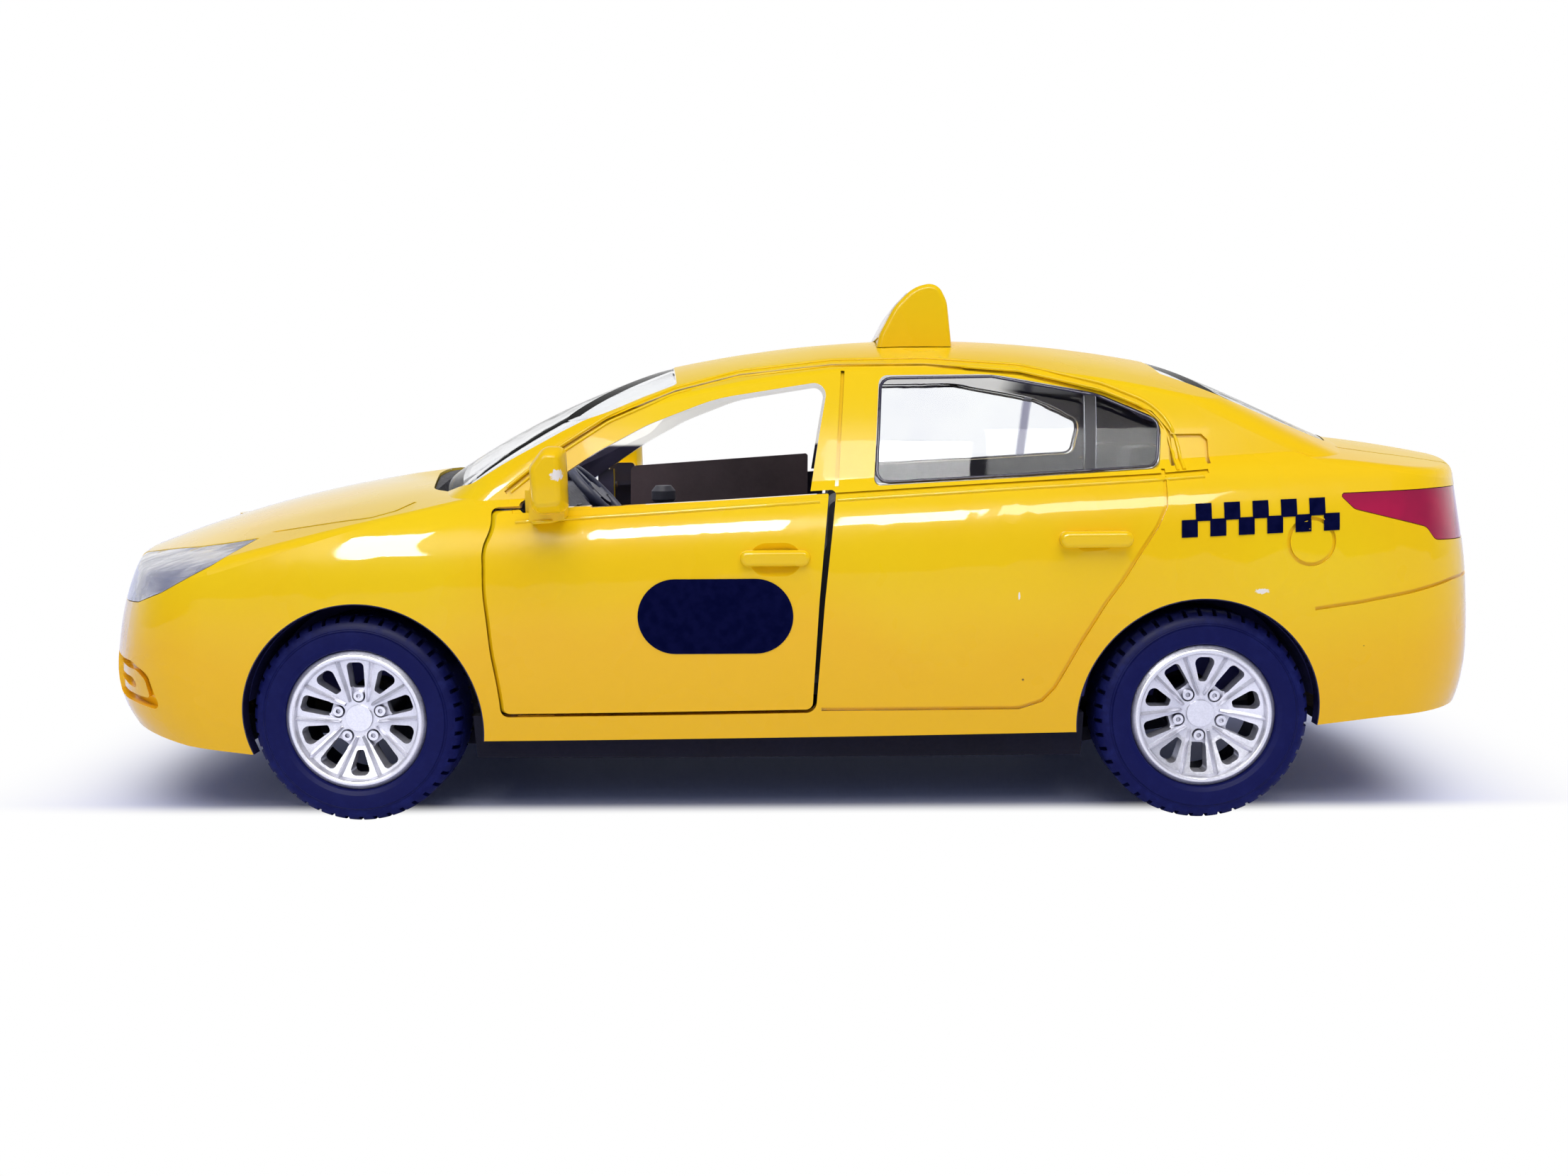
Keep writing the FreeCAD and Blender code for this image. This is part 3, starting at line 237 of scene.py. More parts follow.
def new_group(name, outputs, **inputs):
    """Shader group with named outputs, and inputs with defaults; returned with its two ends' sockets."""
    tree = bpy.data.node_groups.new(name, "ShaderNodeTree")
    for label, default in inputs.items():
        kind = "NodeSocketVector" if isinstance(default, tuple) else "NodeSocketFloat"
        tree.interface.new_socket(label, in_out="INPUT", socket_type=kind).default_value = default
    for label in outputs:
        tree.interface.new_socket(label, in_out="OUTPUT", socket_type="NodeSocketFloat")
    return tree, tree.nodes.new("NodeGroupInput").outputs, tree.nodes.new("NodeGroupOutput").inputs


def effect(tree, name, output=0, **inputs):
    """Places a shared effect in a material and returns one of its outputs, or the first."""
    return node(tree, "ShaderNodeGroup", {"node_tree": bpy.data.node_groups[name]}, **inputs).outputs[output]


def material(name):
    """New material, its node tree and its Principled shader."""
    made = bpy.data.materials.new(name)
    made.use_nodes = True
    return made, made.node_tree, made.node_tree.nodes["Principled BSDF"]


def bump(tree, shader, height, depth, strength=1.0):
    """Feeds a height, deep in metres at 1, into a shader's normal."""
    made = node(tree, "ShaderNodeBump", Height=height, Distance=depth, Strength=strength)
    put(tree, shader.inputs["Normal"], made.outputs[0])


def toned(colour, *factors):
    """A colour with its red, green and blue multiplied."""
    return [v * f for v, f in zip(colour[:3], factors * 3)] + [1]


def finish_with(made, *names):
    """Gives CAD nodes their one material."""
    for name in names:
        mesh = NODES[name].data
        mesh.materials.clear()
        mesh.materials.append(made)


def both(name):
    """Names of a pair of CAD nodes."""
    return name + "_left", name + "_right"


def plain_mesh(name, points, edges, faces):
    """New mesh from its points, edges and faces."""
    shape = bpy.data.meshes.new(name)
    shape.from_pydata(points, edges, faces)
    return shape


def add(name, data):
    """New object in the scene."""
    made = bpy.data.objects.new(name, data)
    bpy.context.scene.collection.objects.link(made)
    return made


# -------- shared effects
def build_effects():
    """Effects that several finishes use, each built once."""
    tree, given, result = new_group("soft_ripple", ["Height"], Wave=1.0 * MM)
    put(tree, result["Height"], noise(tree, given["Wave"], 1.5, 0.45))

    # Ambient-occlusion mask of seams and corners: the enamel and the silver use it for dirt and painted
    # shade, the black plastic for dust.
    tree, given, result = new_group("seam_dirt_and_shade", ["Mask"], Reach=0.8 * MM, Amount=0.7, Spread=0.42)
    shade = node(tree, "ShaderNodeAmbientOcclusion", {"samples": 6}, Distance=given["Reach"])
    deep = ramp(tree, shade.outputs["AO"], given["Spread"], 0.08)
    patchy = ramp(tree, noise(tree, 2.2 * MM, 4.0, 0.6), 0.3, 0.62, 0.35, 1.0)
    mask = maths(tree, "MULTIPLY", product(tree, deep, patchy), given["Amount"], clamp=True)
    put(tree, result["Mask"], mask)

    tree, given, result = new_group("specks", ["Mask"], Spacing=4.0 * MM, Size=0.08, Share=0.25)
    cells = node(tree, "ShaderNodeTexVoronoi", {"feature": "F1"}, Vector=place(tree),
                 Scale=maths(tree, "DIVIDE", 1.0, given["Spacing"]))
    near = ramp(tree, cells.outputs["Distance"], given["Size"], product(tree, given["Size"], 0.6))
    pick = node(tree, "ShaderNodeSeparateColor", Color=cells.outputs["Color"])
    put(tree, result["Mask"], product(tree, near, maths(tree, "LESS_THAN", pick.outputs[0], given["Share"])))

    tree, given, result = new_group("chip", ["Mask"], Place=(0.0, 0.0, 0.0), Reach=(MM, MM, MM))
    away = vector_maths(tree, "SUBTRACT", place(tree), given["Place"])
    away = vector_maths(tree, "LENGTH", vector_maths(tree, "DIVIDE", away, given["Reach"]))
    ragged = maths(tree, "MULTIPLY_ADD", noise(tree, 0.35 * MM, 3.0, 0.7), 1.5, away)
    put(tree, result["Mask"], ramp(tree, ragged, 1.45, 1.3))


# Where the arches are cut: node of the tyre, shift of the arch along x and z, and how much wider it is, in
# millimetres; then how far past the cut its painted shade reaches.
ARCHES = (("front_tyre_left", -0.65, -0.25, 1.35), ("rear_tyre_left", 0.45, -0.15, 1.2))
ARCH_EDGE = 0.08
WALL_REACH = 23.2 * MM  # the inner walls lie nearer to the middle than this
ROOF_UNDERSIDE = (29 * MM, 30 * MM)  # its mask comes in between these heights
OPENING_HALF, OPENING_SILL, OPENING_LEAN = 20.8 * MM, 27 * MM, 0.486  # half width at the sill, and its lean
OPENINGS = (("X", -31 * MM, 10 * MM), ("Z", 28 * MM, 37.5 * MM))  # reach of the window openings
LINING_TOP = 29.8 * MM  # the painted glare on the roof lining starts at this height
LINING_REAR = (-25 * MM, -22 * MM)  # and comes in between these places along x


def build_inside():
    """Masks of the shell's inner faces, its roof lining and the cut edges of the arches, from place and
    facing alone; the enamel paints shade and glare through them.
    """
    tree, _, result = new_group("inside", ["Lining", "Roof", "Arch"])
    spot = split(tree, place(tree))
    facing = split(tree, node(tree, "ShaderNodeTexCoord").outputs["Normal"])
    out = maths(tree, "ABSOLUTE", spot["Y"])
    inward = product(tree, facing["Y"], maths(tree, "SIGN", spot["Y"]), -1.0)
    walls = product(tree, ramp(tree, inward, 0.25, 0.45), maths(tree, "LESS_THAN", out, WALL_REACH))
    half_width = maths(tree, "MULTIPLY_ADD", spot["Z"], -OPENING_LEAN,
                       OPENING_HALF + OPENING_LEAN * OPENING_SILL)
    cut = maths(tree, "LESS_THAN", out, half_width)
    under = product(tree, ramp(tree, facing["Z"], -0.4, -0.6), ramp(tree, spot["Z"], *ROOF_UNDERSIDE), cut)
    for key, low, high in OPENINGS:
        within = product(tree, maths(tree, "GREATER_THAN", spot[key], low),
                         maths(tree, "LESS_THAN", spot[key], high))
        cut = product(tree, cut, within)
    cut = product(tree, cut, maths(tree, "LESS_THAN", facing["Z"], 0.75))
    lining = largest(tree, walls, under, cut)
    pale = ramp(tree, spot["Z"], LINING_TOP, LINING_TOP + 0.4 * MM)
    edges = []
    for name, shift_x, shift_z, wider in ARCHES:
        low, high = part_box(name)
        away_x = maths(tree, "SUBTRACT", spot["X"], (low.x + high.x) / 2 + shift_x * MM)
        away_z = maths(tree, "SUBTRACT", spot["Z"], (low.z + high.z) / 2 + shift_z * MM)
        radius = (high.z - low.z) / 2 + (wider + ARCH_EDGE) * MM
        edges.append(maths(tree, "LESS_THAN", diagonal(tree, away_x, away_z), radius))
    put(tree, result["Lining"], lining)
    put(tree, result["Roof"], product(tree, pale, ramp(tree, spot["X"], *LINING_REAR), lining))
    put(tree, result["Arch"], largest(tree, *edges))


# -------- finishes
BELT = 27.6 * MM  # above this height the enamel is thinner and duller
LOW_SHADE_HEIGHTS = (23 * MM, 11 * MM)  # painted shade: the enamel turns darker from the first height down to the second
TAIL = (-34 * MM, -36 * MM)  # behind these places along x its seam dirt and painted shade are weaker
# Colours of the dirt and painted shade in seams, and of the casting specks.
SEAM_DIRT_AND_SHADE, CASTING_SPECK = (0.05, 0.018, 0.006, 1), (0.16, 0.07, 0.01, 1)
# Near-black painted shade on the shell's inner faces, and a pale painted glare on the roof lining.
LINING_SHADE, LINING_GLARE = (0.038, 0.034, 0.062, 1), (0.70, 0.69, 0.66, 1)
# Painted shade on the cut edges of the arches, and the bare metal of paint chips.
ARCH_SHADE, BARE_CHIP = (0.016, 0.014, 0.05, 1), (0.86, 0.80, 0.70, 1)
# Paint chips on the left side: place (x, y, z) and reach along each axis, in millimetres.
CHIPS = (
    ((-38.85, 23.2, 18.98), (0.85, 2.0, 0.32)),
    ((-19.43, 23.8, 18.8), (0.13, 2.0, 0.55)),
    ((16.72, 26.87, 28.9), (0.8, 1.2, 0.6)),
)


def enamel(name, worn_and_shaded=True):
    """Glossy sprayed enamel with soft ripple, random pools, painted shade darker towards the bottom, dirt and
    painted shade in seams and casting specks; a worn and shaded shell also gets painted shade on its inner
    faces and arch edges, a pale roof lining with a painted glow, and chips.
    """
    own = bpy.context.scene.taxi_enamel
    made, tree, shader = material(name)
    spot = split(tree, place(tree))
    above_belt = ramp(tree, spot["Z"], BELT, BELT + 0.8 * MM)
    pools_and_low_shade = ramp(tree, noise(tree, 21 * MM), 0.35, 0.7, 0.0, 0.5)
    # Painted shade: darker towards the bottom of the body.
    pools_and_low_shade = maths(tree, "ADD", pools_and_low_shade, ramp(tree, spot["Z"], *LOW_SHADE_HEIGHTS, 0.0, 0.9), clamp=True)
    colour = blend(tree, pools_and_low_shade, tuple(own.colour), tuple(own.deep_and_shade_colour))
    right_pillars = product(tree, above_belt, maths(tree, "LESS_THAN", spot["Y"], 0.0))
    # Dirt and painted shade in seams and corners, from ambient occlusion; weaker at the tail and on the right
    # side's pillars.
    dirt_and_shade = product(tree, effect(tree, "seam_dirt_and_shade", Reach=0.55 * MM, Amount=own.grime_and_shade),
                   ramp(tree, spot["X"], *TAIL, 1.0, 0.3),
                   maths(tree, "MULTIPLY_ADD", right_pillars, -0.85, 1.0))
    colour = blend(tree, dirt_and_shade, colour, SEAM_DIRT_AND_SHADE)
    specks = effect(tree, "specks", Spacing=3.4 * MM, Size=0.035, Share=0.22)
    colour = blend(tree, specks, colour, CASTING_SPECK)
    rough = maths(tree, "MULTIPLY_ADD", noise(tree, 9 * MM, 3.0), 0.12, 0.22)
    if worn_and_shaded:
        # Painted light: the roof lining is pale and glows as if lit, and the other inner faces get near-black
        # painted shade.
        roof = effect(tree, "inside", "Roof")
        fill(tree, shader, Emission_Color=blend(tree, roof, (0, 0, 0, 1), (1, 0.98, 0.94, 1)),
             Emission_Strength=0.5)
        lining_shade_and_glare = blend(tree, roof, LINING_SHADE, LINING_GLARE)
        colour = blend(tree, effect(tree, "inside", "Lining"), colour, lining_shade_and_glare)
        # Painted shade on the arches' cut edges.
        colour = blend(tree, effect(tree, "inside", "Arch"), colour, ARCH_SHADE)
        chips = largest(tree, *(
            effect(tree, "chip", Place=[v * MM for v in centre], Reach=[v * MM for v in reach])
            for centre, reach in CHIPS))
        colour = blend(tree, chips, colour, BARE_CHIP)
        rough = maths(tree, "MULTIPLY_ADD", chips, 0.45, rough)
    fill(tree, shader, Base_Color=colour, Roughness=rough, Specular_IOR_Level=0.10, Coat_IOR=1.31,
         Coat_Weight=maths(tree, "MULTIPLY_ADD", above_belt, -0.85, 1.0), Coat_Roughness=0.03)
    bump(tree, shader, effect(tree, "soft_ripple", Wave=own.ripple), 0.02 * MM, 0.4)
    return made


def print_ink():
    """Flat black pad-printed ink with pinholes that let the enamel through."""
    made, tree, shader = material("black_print_ink")
    tone = ramp(tree, noise(tree, 0.7 * MM, 4.0), 0.3, 0.7)
    colour = blend(tree, tone, (0.002, 0.003, 0.026, 1), (0.004, 0.005, 0.036, 1))
    holes = effect(tree, "specks", Spacing=0.6 * MM, Size=0.10, Share=0.05)
    fill(tree, shader, Base_Color=blend(tree, holes, colour, (0.5, 0.3, 0.01, 1)),
         Roughness=ramp(tree, tone, 0.0, 1.0, 0.48, 0.60), Specular_IOR_Level=0.0)
    bump(tree, shader, effect(tree, "soft_ripple", Wave=0.25 * MM), 0.004 * MM, 0.6)
    return made


# Bar moulded in a rear side pane, in millimetres: ends of its middle line in x and z, half width, soft edge.
BAR = ((-25.5, 27.9), (-25.95, 35.3))
BAR_HALF, BAR_EDGE = 0.475, 0.12


def clear_styrene(name, bend, barred=False):
    """Clear moulded plastic, slightly wavy; a barred pane has a frosted bar across it."""
    made, tree, shader = material(name)
    cloud = ramp(tree, noise(tree, 6 * MM, 3.0), 0.35, 0.75)
    colour = blend(tree, cloud, (0.97, 0.98, 0.99, 1), (0.93, 0.94, 0.97, 1))
    rough = ramp(tree, cloud, 0.0, 1.0, 0.01, 0.035)
    if barred:
        (x0, z0), (x1, z1) = BAR
        spot = split(tree, place(tree))
        rise = maths(tree, "SUBTRACT", spot["Z"], z0 * MM)
        middle = maths(tree, "MULTIPLY_ADD", rise, (x1 - x0) / (z1 - z0), x0 * MM)
        away = maths(tree, "ABSOLUTE", maths(tree, "SUBTRACT", spot["X"], middle))
        bar = ramp(tree, away, BAR_HALF * MM, (BAR_HALF - BAR_EDGE) * MM)
        colour = blend(tree, bar, colour, (0.30, 0.30, 0.40, 1))
        rough = maths(tree, "MULTIPLY_ADD", bar, 0.3, rough)
    fill(tree, shader, Base_Color=colour, Roughness=rough, IOR=bend, Transmission_Weight=1.0)
    bump(tree, shader, effect(tree, "soft_ripple", Wave=5.0 * MM), 0.03 * MM, 0.35)
    return made


def lens_plastic():
    """Hazy clear lens with streaks of moulding flow and a lavender cast over the plated bowls behind it."""
    made, tree, shader = material("lens_styrene")
    flow = node(tree, "ShaderNodeMapping", Vector=place(tree), Rotation=(0, math.radians(-35), 0),
                Scale=(0.35, 1, 1.6))
    streak = ramp(tree, noise(tree, 2.6 * MM, 2.5, coordinates=flow.outputs[0]), 0.36, 0.66)
    fill(tree, shader, Base_Color=blend(tree, streak, (0.42, 0.44, 0.56, 1), (0.95, 0.95, 0.97, 1)),
         Roughness=ramp(tree, streak, 0.0, 1.0, 0.10, 0.04), IOR=1.4, Transmission_Weight=0.72,
         Coat_Weight=0.6, Coat_Roughness=0.03)
    bump(tree, shader, streak, 0.16 * MM, 0.7)
    return made


SPRAY_FADE = 0.7 * MM  # the silver ends over this depth


def silver_paint(name, rough, corner_shade, sprayed=0.0):
    """Silver spray with fine flake, painted shade in its corners, and near-black painted shade further in
    than sprayed.
    """
    made, tree, shader = material(name)
    flake = noise(tree, 0.12 * MM)
    silver = tuple(bpy.context.scene.taxi_wheels.silver)
    colour = blend(tree, ramp(tree, flake, 0.3, 0.7), toned(silver, 0.9), silver)
    # Painted shade: darker in corners and between the spokes.
    corners = effect(tree, "seam_dirt_and_shade", Reach=1.3 * MM, Amount=corner_shade, Spread=0.85)
    colour = blend(tree, corners, colour, (0.02, 0.02, 0.06, 1))
    # Painted shade: further in than sprayed, the rim turns near-black.
    if sprayed:
        deep = maths(tree, "ABSOLUTE", split(tree, place(tree))["Y"])
        colour = blend(tree, ramp(tree, deep, sprayed, sprayed - SPRAY_FADE), colour, (0.006, 0.007, 0.04, 1))
    fill(tree, shader, Base_Color=colour, Metallic=0.8,
         Roughness=ramp(tree, flake, 0.2, 0.8, rough, rough + 0.12))
    bump(tree, shader, flake, 0.006 * MM, 0.5)
    return made


# Dishes in each reflector, in millimetres: x, distance from the middle and z of the centre, then the radius.
DISHES = (((52.6, 19.0, 20.3), 1.9), ((49.2, 19.8, 21.6), 1.5))


def reflector():
    """Bright vacuum-plated reflector with two dished bowls, the same on both sides."""
    made = silver_paint("reflector_silver", 0.16, 0.5)
    tree = made.node_tree
    shader = tree.nodes["Principled BSDF"]
    spot = split(tree, place(tree))
    either_side = join(tree, spot["X"], maths(tree, "ABSOLUTE", spot["Y"]), spot["Z"])
    height = product(tree, *(
        ramp(tree, vector_maths(tree, "DISTANCE", either_side, [v * MM for v in centre]),
             radius * 0.25 * MM, radius * MM)
        for centre, radius in DISHES))
    silver = shader.inputs["Base Color"].links[0].from_socket
    put(tree, shader.inputs["Base Color"], blend(tree, height, (0.30, 0.33, 0.42, 1), silver))
    bump(tree, shader, height, 1.2 * MM)
    return made


SHOULDER = (6.9 * MM, 8.3 * MM)  # a tyre gets dustier between these radii
RING_RISE, RING_FALL = (7.42 * MM, 7.52 * MM), (7.66 * MM, 7.56 * MM)  # the ring moulded in its sidewall


def tyre_rubber(name, centre):
    """Soft black rubber with a ring moulded in the sidewall, a dusty shoulder and lint."""
    made, tree, shader = material(name)
    moved = node(tree, "ShaderNodeMapping", Vector=place(tree), Location=[-v for v in centre]).outputs[0]
    spot = split(tree, moved)
    radius = diagonal(tree, spot["X"], spot["Z"])
    rubber = tuple(bpy.context.scene.taxi_wheels.rubber)
    dusty = product(tree, ramp(tree, noise(tree, 1.1 * MM, 5.0, 0.65), 0.42, 0.75),
                    ramp(tree, radius, *SHOULDER, 0.15, 0.6))
    colour = blend(tree, dusty, rubber, toned(rubber, 2.6, 2.8, 2.0))
    lint = effect(tree, "specks", Spacing=1.5 * MM, Size=0.035, Share=0.12)
    fill(tree, shader, Base_Color=blend(tree, lint, colour, (0.35, 0.37, 0.45, 1)),
         Roughness=ramp(tree, dusty, 0.0, 0.6, 0.42, 0.62), Specular_IOR_Level=0.06)
    ring = product(tree, ramp(tree, radius, *RING_RISE), ramp(tree, radius, *RING_FALL))
    grain = noise(tree, 0.16 * MM, 3.0)
    bump(tree, shader, maths(tree, "MULTIPLY_ADD", grain, 0.12, ring), 0.08 * MM, 0.7)
    return made


def moulded_black(name, colour=(0.018, 0.018, 0.026, 1), grain=0.35 * MM, rough=0.42, shine=0.5):
    """Satin moulded plastic with fine spark-eroded grain and dust in its corners."""
    made, tree, shader = material(name)
    tone = ramp(tree, noise(tree, 6 * MM, 3.0), 0.3, 0.7)
    base = blend(tree, tone, colour, toned(colour, 1.5))
    dust = effect(tree, "seam_dirt_and_shade", Reach=0.9 * MM, Amount=0.35)
    fine = noise(tree, grain, 3.0)
    fill(tree, shader, Base_Color=blend(tree, dust, base, (0.10, 0.09, 0.085, 1)),
         Roughness=ramp(tree, fine, 0.25, 0.75, rough, rough + 0.14), Specular_IOR_Level=shine)
    bump(tree, shader, fine, 0.02 * MM, 0.5)
    return made


LAMP_TOP_SHADE = (25.2 * MM, 28.0 * MM)  # painted shade darkens a tail lamp between these heights, towards the top


def lamp_red():
    """Clear red plastic over a dark back, with moulding flow in its colour and painted shade on its upper
    edge.
    """
    made, tree, shader = material("lamp_red_plastic")
    flow = ramp(tree, noise(tree, 3.0 * MM), 0.3, 0.7)
    top_shade = ramp(tree, split(tree, place(tree))["Z"], *LAMP_TOP_SHADE, 0.0, 0.8)
    colour = blend(tree, flow, (0.46, 0.012, 0.065, 1), (0.36, 0.010, 0.055, 1))
    fill(tree, shader, Base_Color=blend(tree, top_shade, colour, (0.26, 0.012, 0.05, 1)),
         Roughness=ramp(tree, flow, 0.0, 1.0, 0.10, 0.2), Coat_Weight=0.6, Coat_Roughness=0.05)
    bump(tree, shader, effect(tree, "soft_ripple", Wave=1.8 * MM), 0.03 * MM, 0.4)
    return made


def bare_steel():
    """Turned and plated steel with fine tool marks."""
    made, tree, shader = material("plated_steel")
    marks = noise(tree, 0.2 * MM, 4.0)
    fill(tree, shader, Base_Color=blend(tree, marks, (0.42, 0.42, 0.44, 1), (0.62, 0.62, 0.63, 1)),
         Metallic=1.0, Roughness=ramp(tree, marks, 0.2, 0.8, 0.25, 0.45))
    bump(tree, shader, marks, 0.004 * MM, 0.5)
    return made


# -------- prints, beads and wheel houses
OUTSIDE = 40 * MM  # side lines start this far out, and rays lay them on the surface
PRINT_RAY, BEAD_RAY = 80 * MM, 31 * MM  # a bead's ray stops before the middle, so a miss stays a miss
CREASE = 0.55 * MM  # a print bridges body lines narrower than this
SQUARE_POINTS = 9  # points along each side of a printed square


def geometry_tree(name, *numbers, **others):
    """Geometry Nodes tree with number inputs, and others by kind; a path, its object's edges, is first."""
    tree = bpy.data.node_groups.new(name, "GeometryNodeTree")
    tree.interface.new_socket("Geometry", in_out="OUTPUT", socket_type="NodeSocketGeometry")
    for label, kind in (*others.items(), *((number, "Float") for number in numbers)):
        tree.interface.new_socket(label, in_out="INPUT", socket_type="NodeSocket" + kind)
    return tree, tree.nodes.new("NodeGroupInput").outputs, tree.nodes.new("NodeGroupOutput").inputs


def run_tree(name, tree, values, path=(), closed=False):
    """Object made by a Geometry Nodes tree: its inputs set by identifier, then turned into a plain mesh."""
    edges = [(i, i + 1) for i in range(len(path) - 1)]
    if closed:
        edges.append((len(path) - 1, 0))
    made = add(name, plain_mesh(name, path, edges, []))
    modifier = made.modifiers.new("shape", "NODES")
    modifier.node_group = tree
    for item in tree.interface.items_tree:
        if item.in_out == "INPUT" and item.name in values:
            modifier[item.identifier] = values[item.name]
    bpy.context.view_layer.update()
    graph = bpy.context.evaluated_depsgraph_get()
    mesh = bpy.data.meshes.new_from_object(made.evaluated_get(graph), depsgraph=graph)
    made.modifiers.remove(modifier)
    made.data = mesh
    if not mesh.polygons:
        raise RuntimeError(name + " came out empty")
    return made


def geo(tree, kind, geometry, settings=None, **inputs):
    """A geometry node on the geometry it takes first, and its result."""
    made = node(tree, kind, settings, **inputs)
    put(tree, made.inputs[0], geometry)
    return made.outputs[0]


def side_ray(tree, given, start, length):
    """Rays square to the middle plane, on to the surface that a tree is given."""
    surface = node(tree, "GeometryNodeObjectInfo", Object=given["Surface"]).outputs["Geometry"]
    inward = join(tree, 0.0, product(tree, given["Side"], -1.0), 0.0)
    return node(tree, "GeometryNodeRaycast", {"data_type": "FLOAT"}, Target_Geometry=surface,
                Source_Position=start, Ray_Direction=inward, Ray_Length=length).outputs


def checker_tree():
    """Two rows of printed squares, one step apart, laid on a surface by rays from the side."""
    tree, given, result = geometry_tree(
        "printed_checker", "Width", "Height", "Start X", "Start Z", "Rise", "Side", "Film", "Bleed",
        Surface="Object", Squares="Int", Ink="Material")
    far = product(tree, given["Side"], OUTSIDE)
    step = join(tree, product(tree, given["Width"], -2.0), 0.0, 0.0)
    rows = node(tree, "GeometryNodeJoinGeometry")
    for row in (0, 1):
        x = maths(tree, "SUBTRACT", given["Start X"], product(tree, given["Width"], 0.5 + row))
        z = maths(tree, "MULTIPLY_ADD", given["Height"], 0.5 + row, given["Start Z"])
        line = node(tree, "GeometryNodeMeshLine", {"mode": "OFFSET"}, Start_Location=join(tree, x, far, z),
                    Offset=step, Count=maths(tree, "SUBTRACT", given["Squares"], float(row)))
        put(tree, rows.inputs[0], line.outputs[0])
    width, height = (maths(tree, "ADD", given[key], given["Bleed"]) for key in ("Width", "Height"))
    square = node(tree, "GeometryNodeMeshGrid", Size_X=width, Size_Y=height,
                  Vertices_X=SQUARE_POINTS, Vertices_Y=SQUARE_POINTS)
    turned = geo(tree, "GeometryNodeTransform", square.outputs[0],
                 Rotation=join(tree, product(tree, given["Side"], -math.pi / 2), 0.0, 0.0))
    placed = geo(tree, "GeometryNodeInstanceOnPoints", rows.outputs[0], Instance=turned)
    flat = geo(tree, "GeometryNodeRealizeInstances", placed)
    here = node(tree, "GeometryNodeInputPosition").outputs[0]
    rise = product(tree, maths(tree, "SUBTRACT", given["Start X"], split(tree, here)["X"]), given["Rise"])
    flat = geo(tree, "GeometryNodeSetPosition", flat, Offset=join(tree, 0.0, 0.0, rise))
    outs = []
    for ahead, above in ((0.0, 0.0), (CREASE, 0.0), (0.0, CREASE)):
        start = vector_maths(tree, "ADD", here, (ahead, 0.0, above))
        hit = side_ray(tree, given, start, PRINT_RAY)["Hit Position"]
        outs.append(product(tree, split(tree, hit)["Y"], given["Side"]))
    out = product(tree, maths(tree, "ADD", largest(tree, *outs), given["Film"]), given["Side"])
    spot = split(tree, here)
    laid = geo(tree, "GeometryNodeSetPosition", flat, Position=join(tree, spot["X"], out, spot["Z"]))
    whole = geo(tree, "GeometryNodeRealizeInstances", laid)
    put(tree, result["Geometry"], geo(tree, "GeometryNodeSetMaterial", whole, Material=given["Ink"]))
    return tree


def bead_tree():
    """A round bead along a path, with rounded corners, laid on a surface by rays from the side."""
    tree, given, result = geometry_tree(
        "laid_bead", "Thickness", "Corner", "Step", "Side", "Lift",
        Path="Geometry", Surface="Object", Finish="Material")
    curve = geo(tree, "GeometryNodeMeshToCurve", given["Path"])
    eased = geo(tree, "GeometryNodeFilletCurve", curve, {"mode": "POLY"}, Count=8, Radius=given["Corner"],
                Limit_Radius=True)
    even = geo(tree, "GeometryNodeResampleCurve", eased, {"mode": "LENGTH"}, Length=given["Step"])
    hit = side_ray(tree, given, node(tree, "GeometryNodeInputPosition").outputs[0], BEAD_RAY)
    missed = node(tree, "FunctionNodeBooleanMath", {"operation": "NOT"})
    put(tree, missed.inputs[0], hit["Is Hit"])
    kept = geo(tree, "GeometryNodeDeleteGeometry", even, {"domain": "POINT"}, Selection=missed.outputs[0])
    spot = vector_maths(tree, "MULTIPLY_ADD", hit["Hit Normal"], given["Lift"], hit["Hit Position"])
    laid = geo(tree, "GeometryNodeSetPosition", kept, Position=spot)
    ring = node(tree, "GeometryNodeCurvePrimitiveCircle", {"mode": "RADIUS"}, Resolution=10,
                Radius=given["Thickness"])
    bead = geo(tree, "GeometryNodeCurveToMesh", laid, Profile_Curve=ring.outputs[0], Fill_Caps=True)
    whole = geo(tree, "GeometryNodeRealizeInstances", geo(tree, "GeometryNodeSetShadeSmooth", bead))
    put(tree, result["Geometry"], geo(tree, "GeometryNodeSetMaterial", whole, Material=given["Finish"]))
    return tree


def beside(points, gap):
    """Points of a side line moved square to the line by a gap."""
    moved = []
    for i, (x, z) in enumerate(points):
        before, after = points[max(i - 1, 0)], points[min(i + 1, len(points) - 1)]
        run, rise = after[0] - before[0], after[1] - before[1]
        length = math.hypot(run, rise)
        moved.append((x - rise / length * gap, z + run / length * gap))
    return moved


# Wheel houses in millimetres: radius, hole for the axle and wall; inner wall and outer end from the middle.
HOUSE_R, HOUSE_HOLE, HOUSE_WALL = 9.7, 2.6, 0.2
HOUSE_Y = (15.45, 20.6)
HOUSE_STEPS = 40  # facets round each


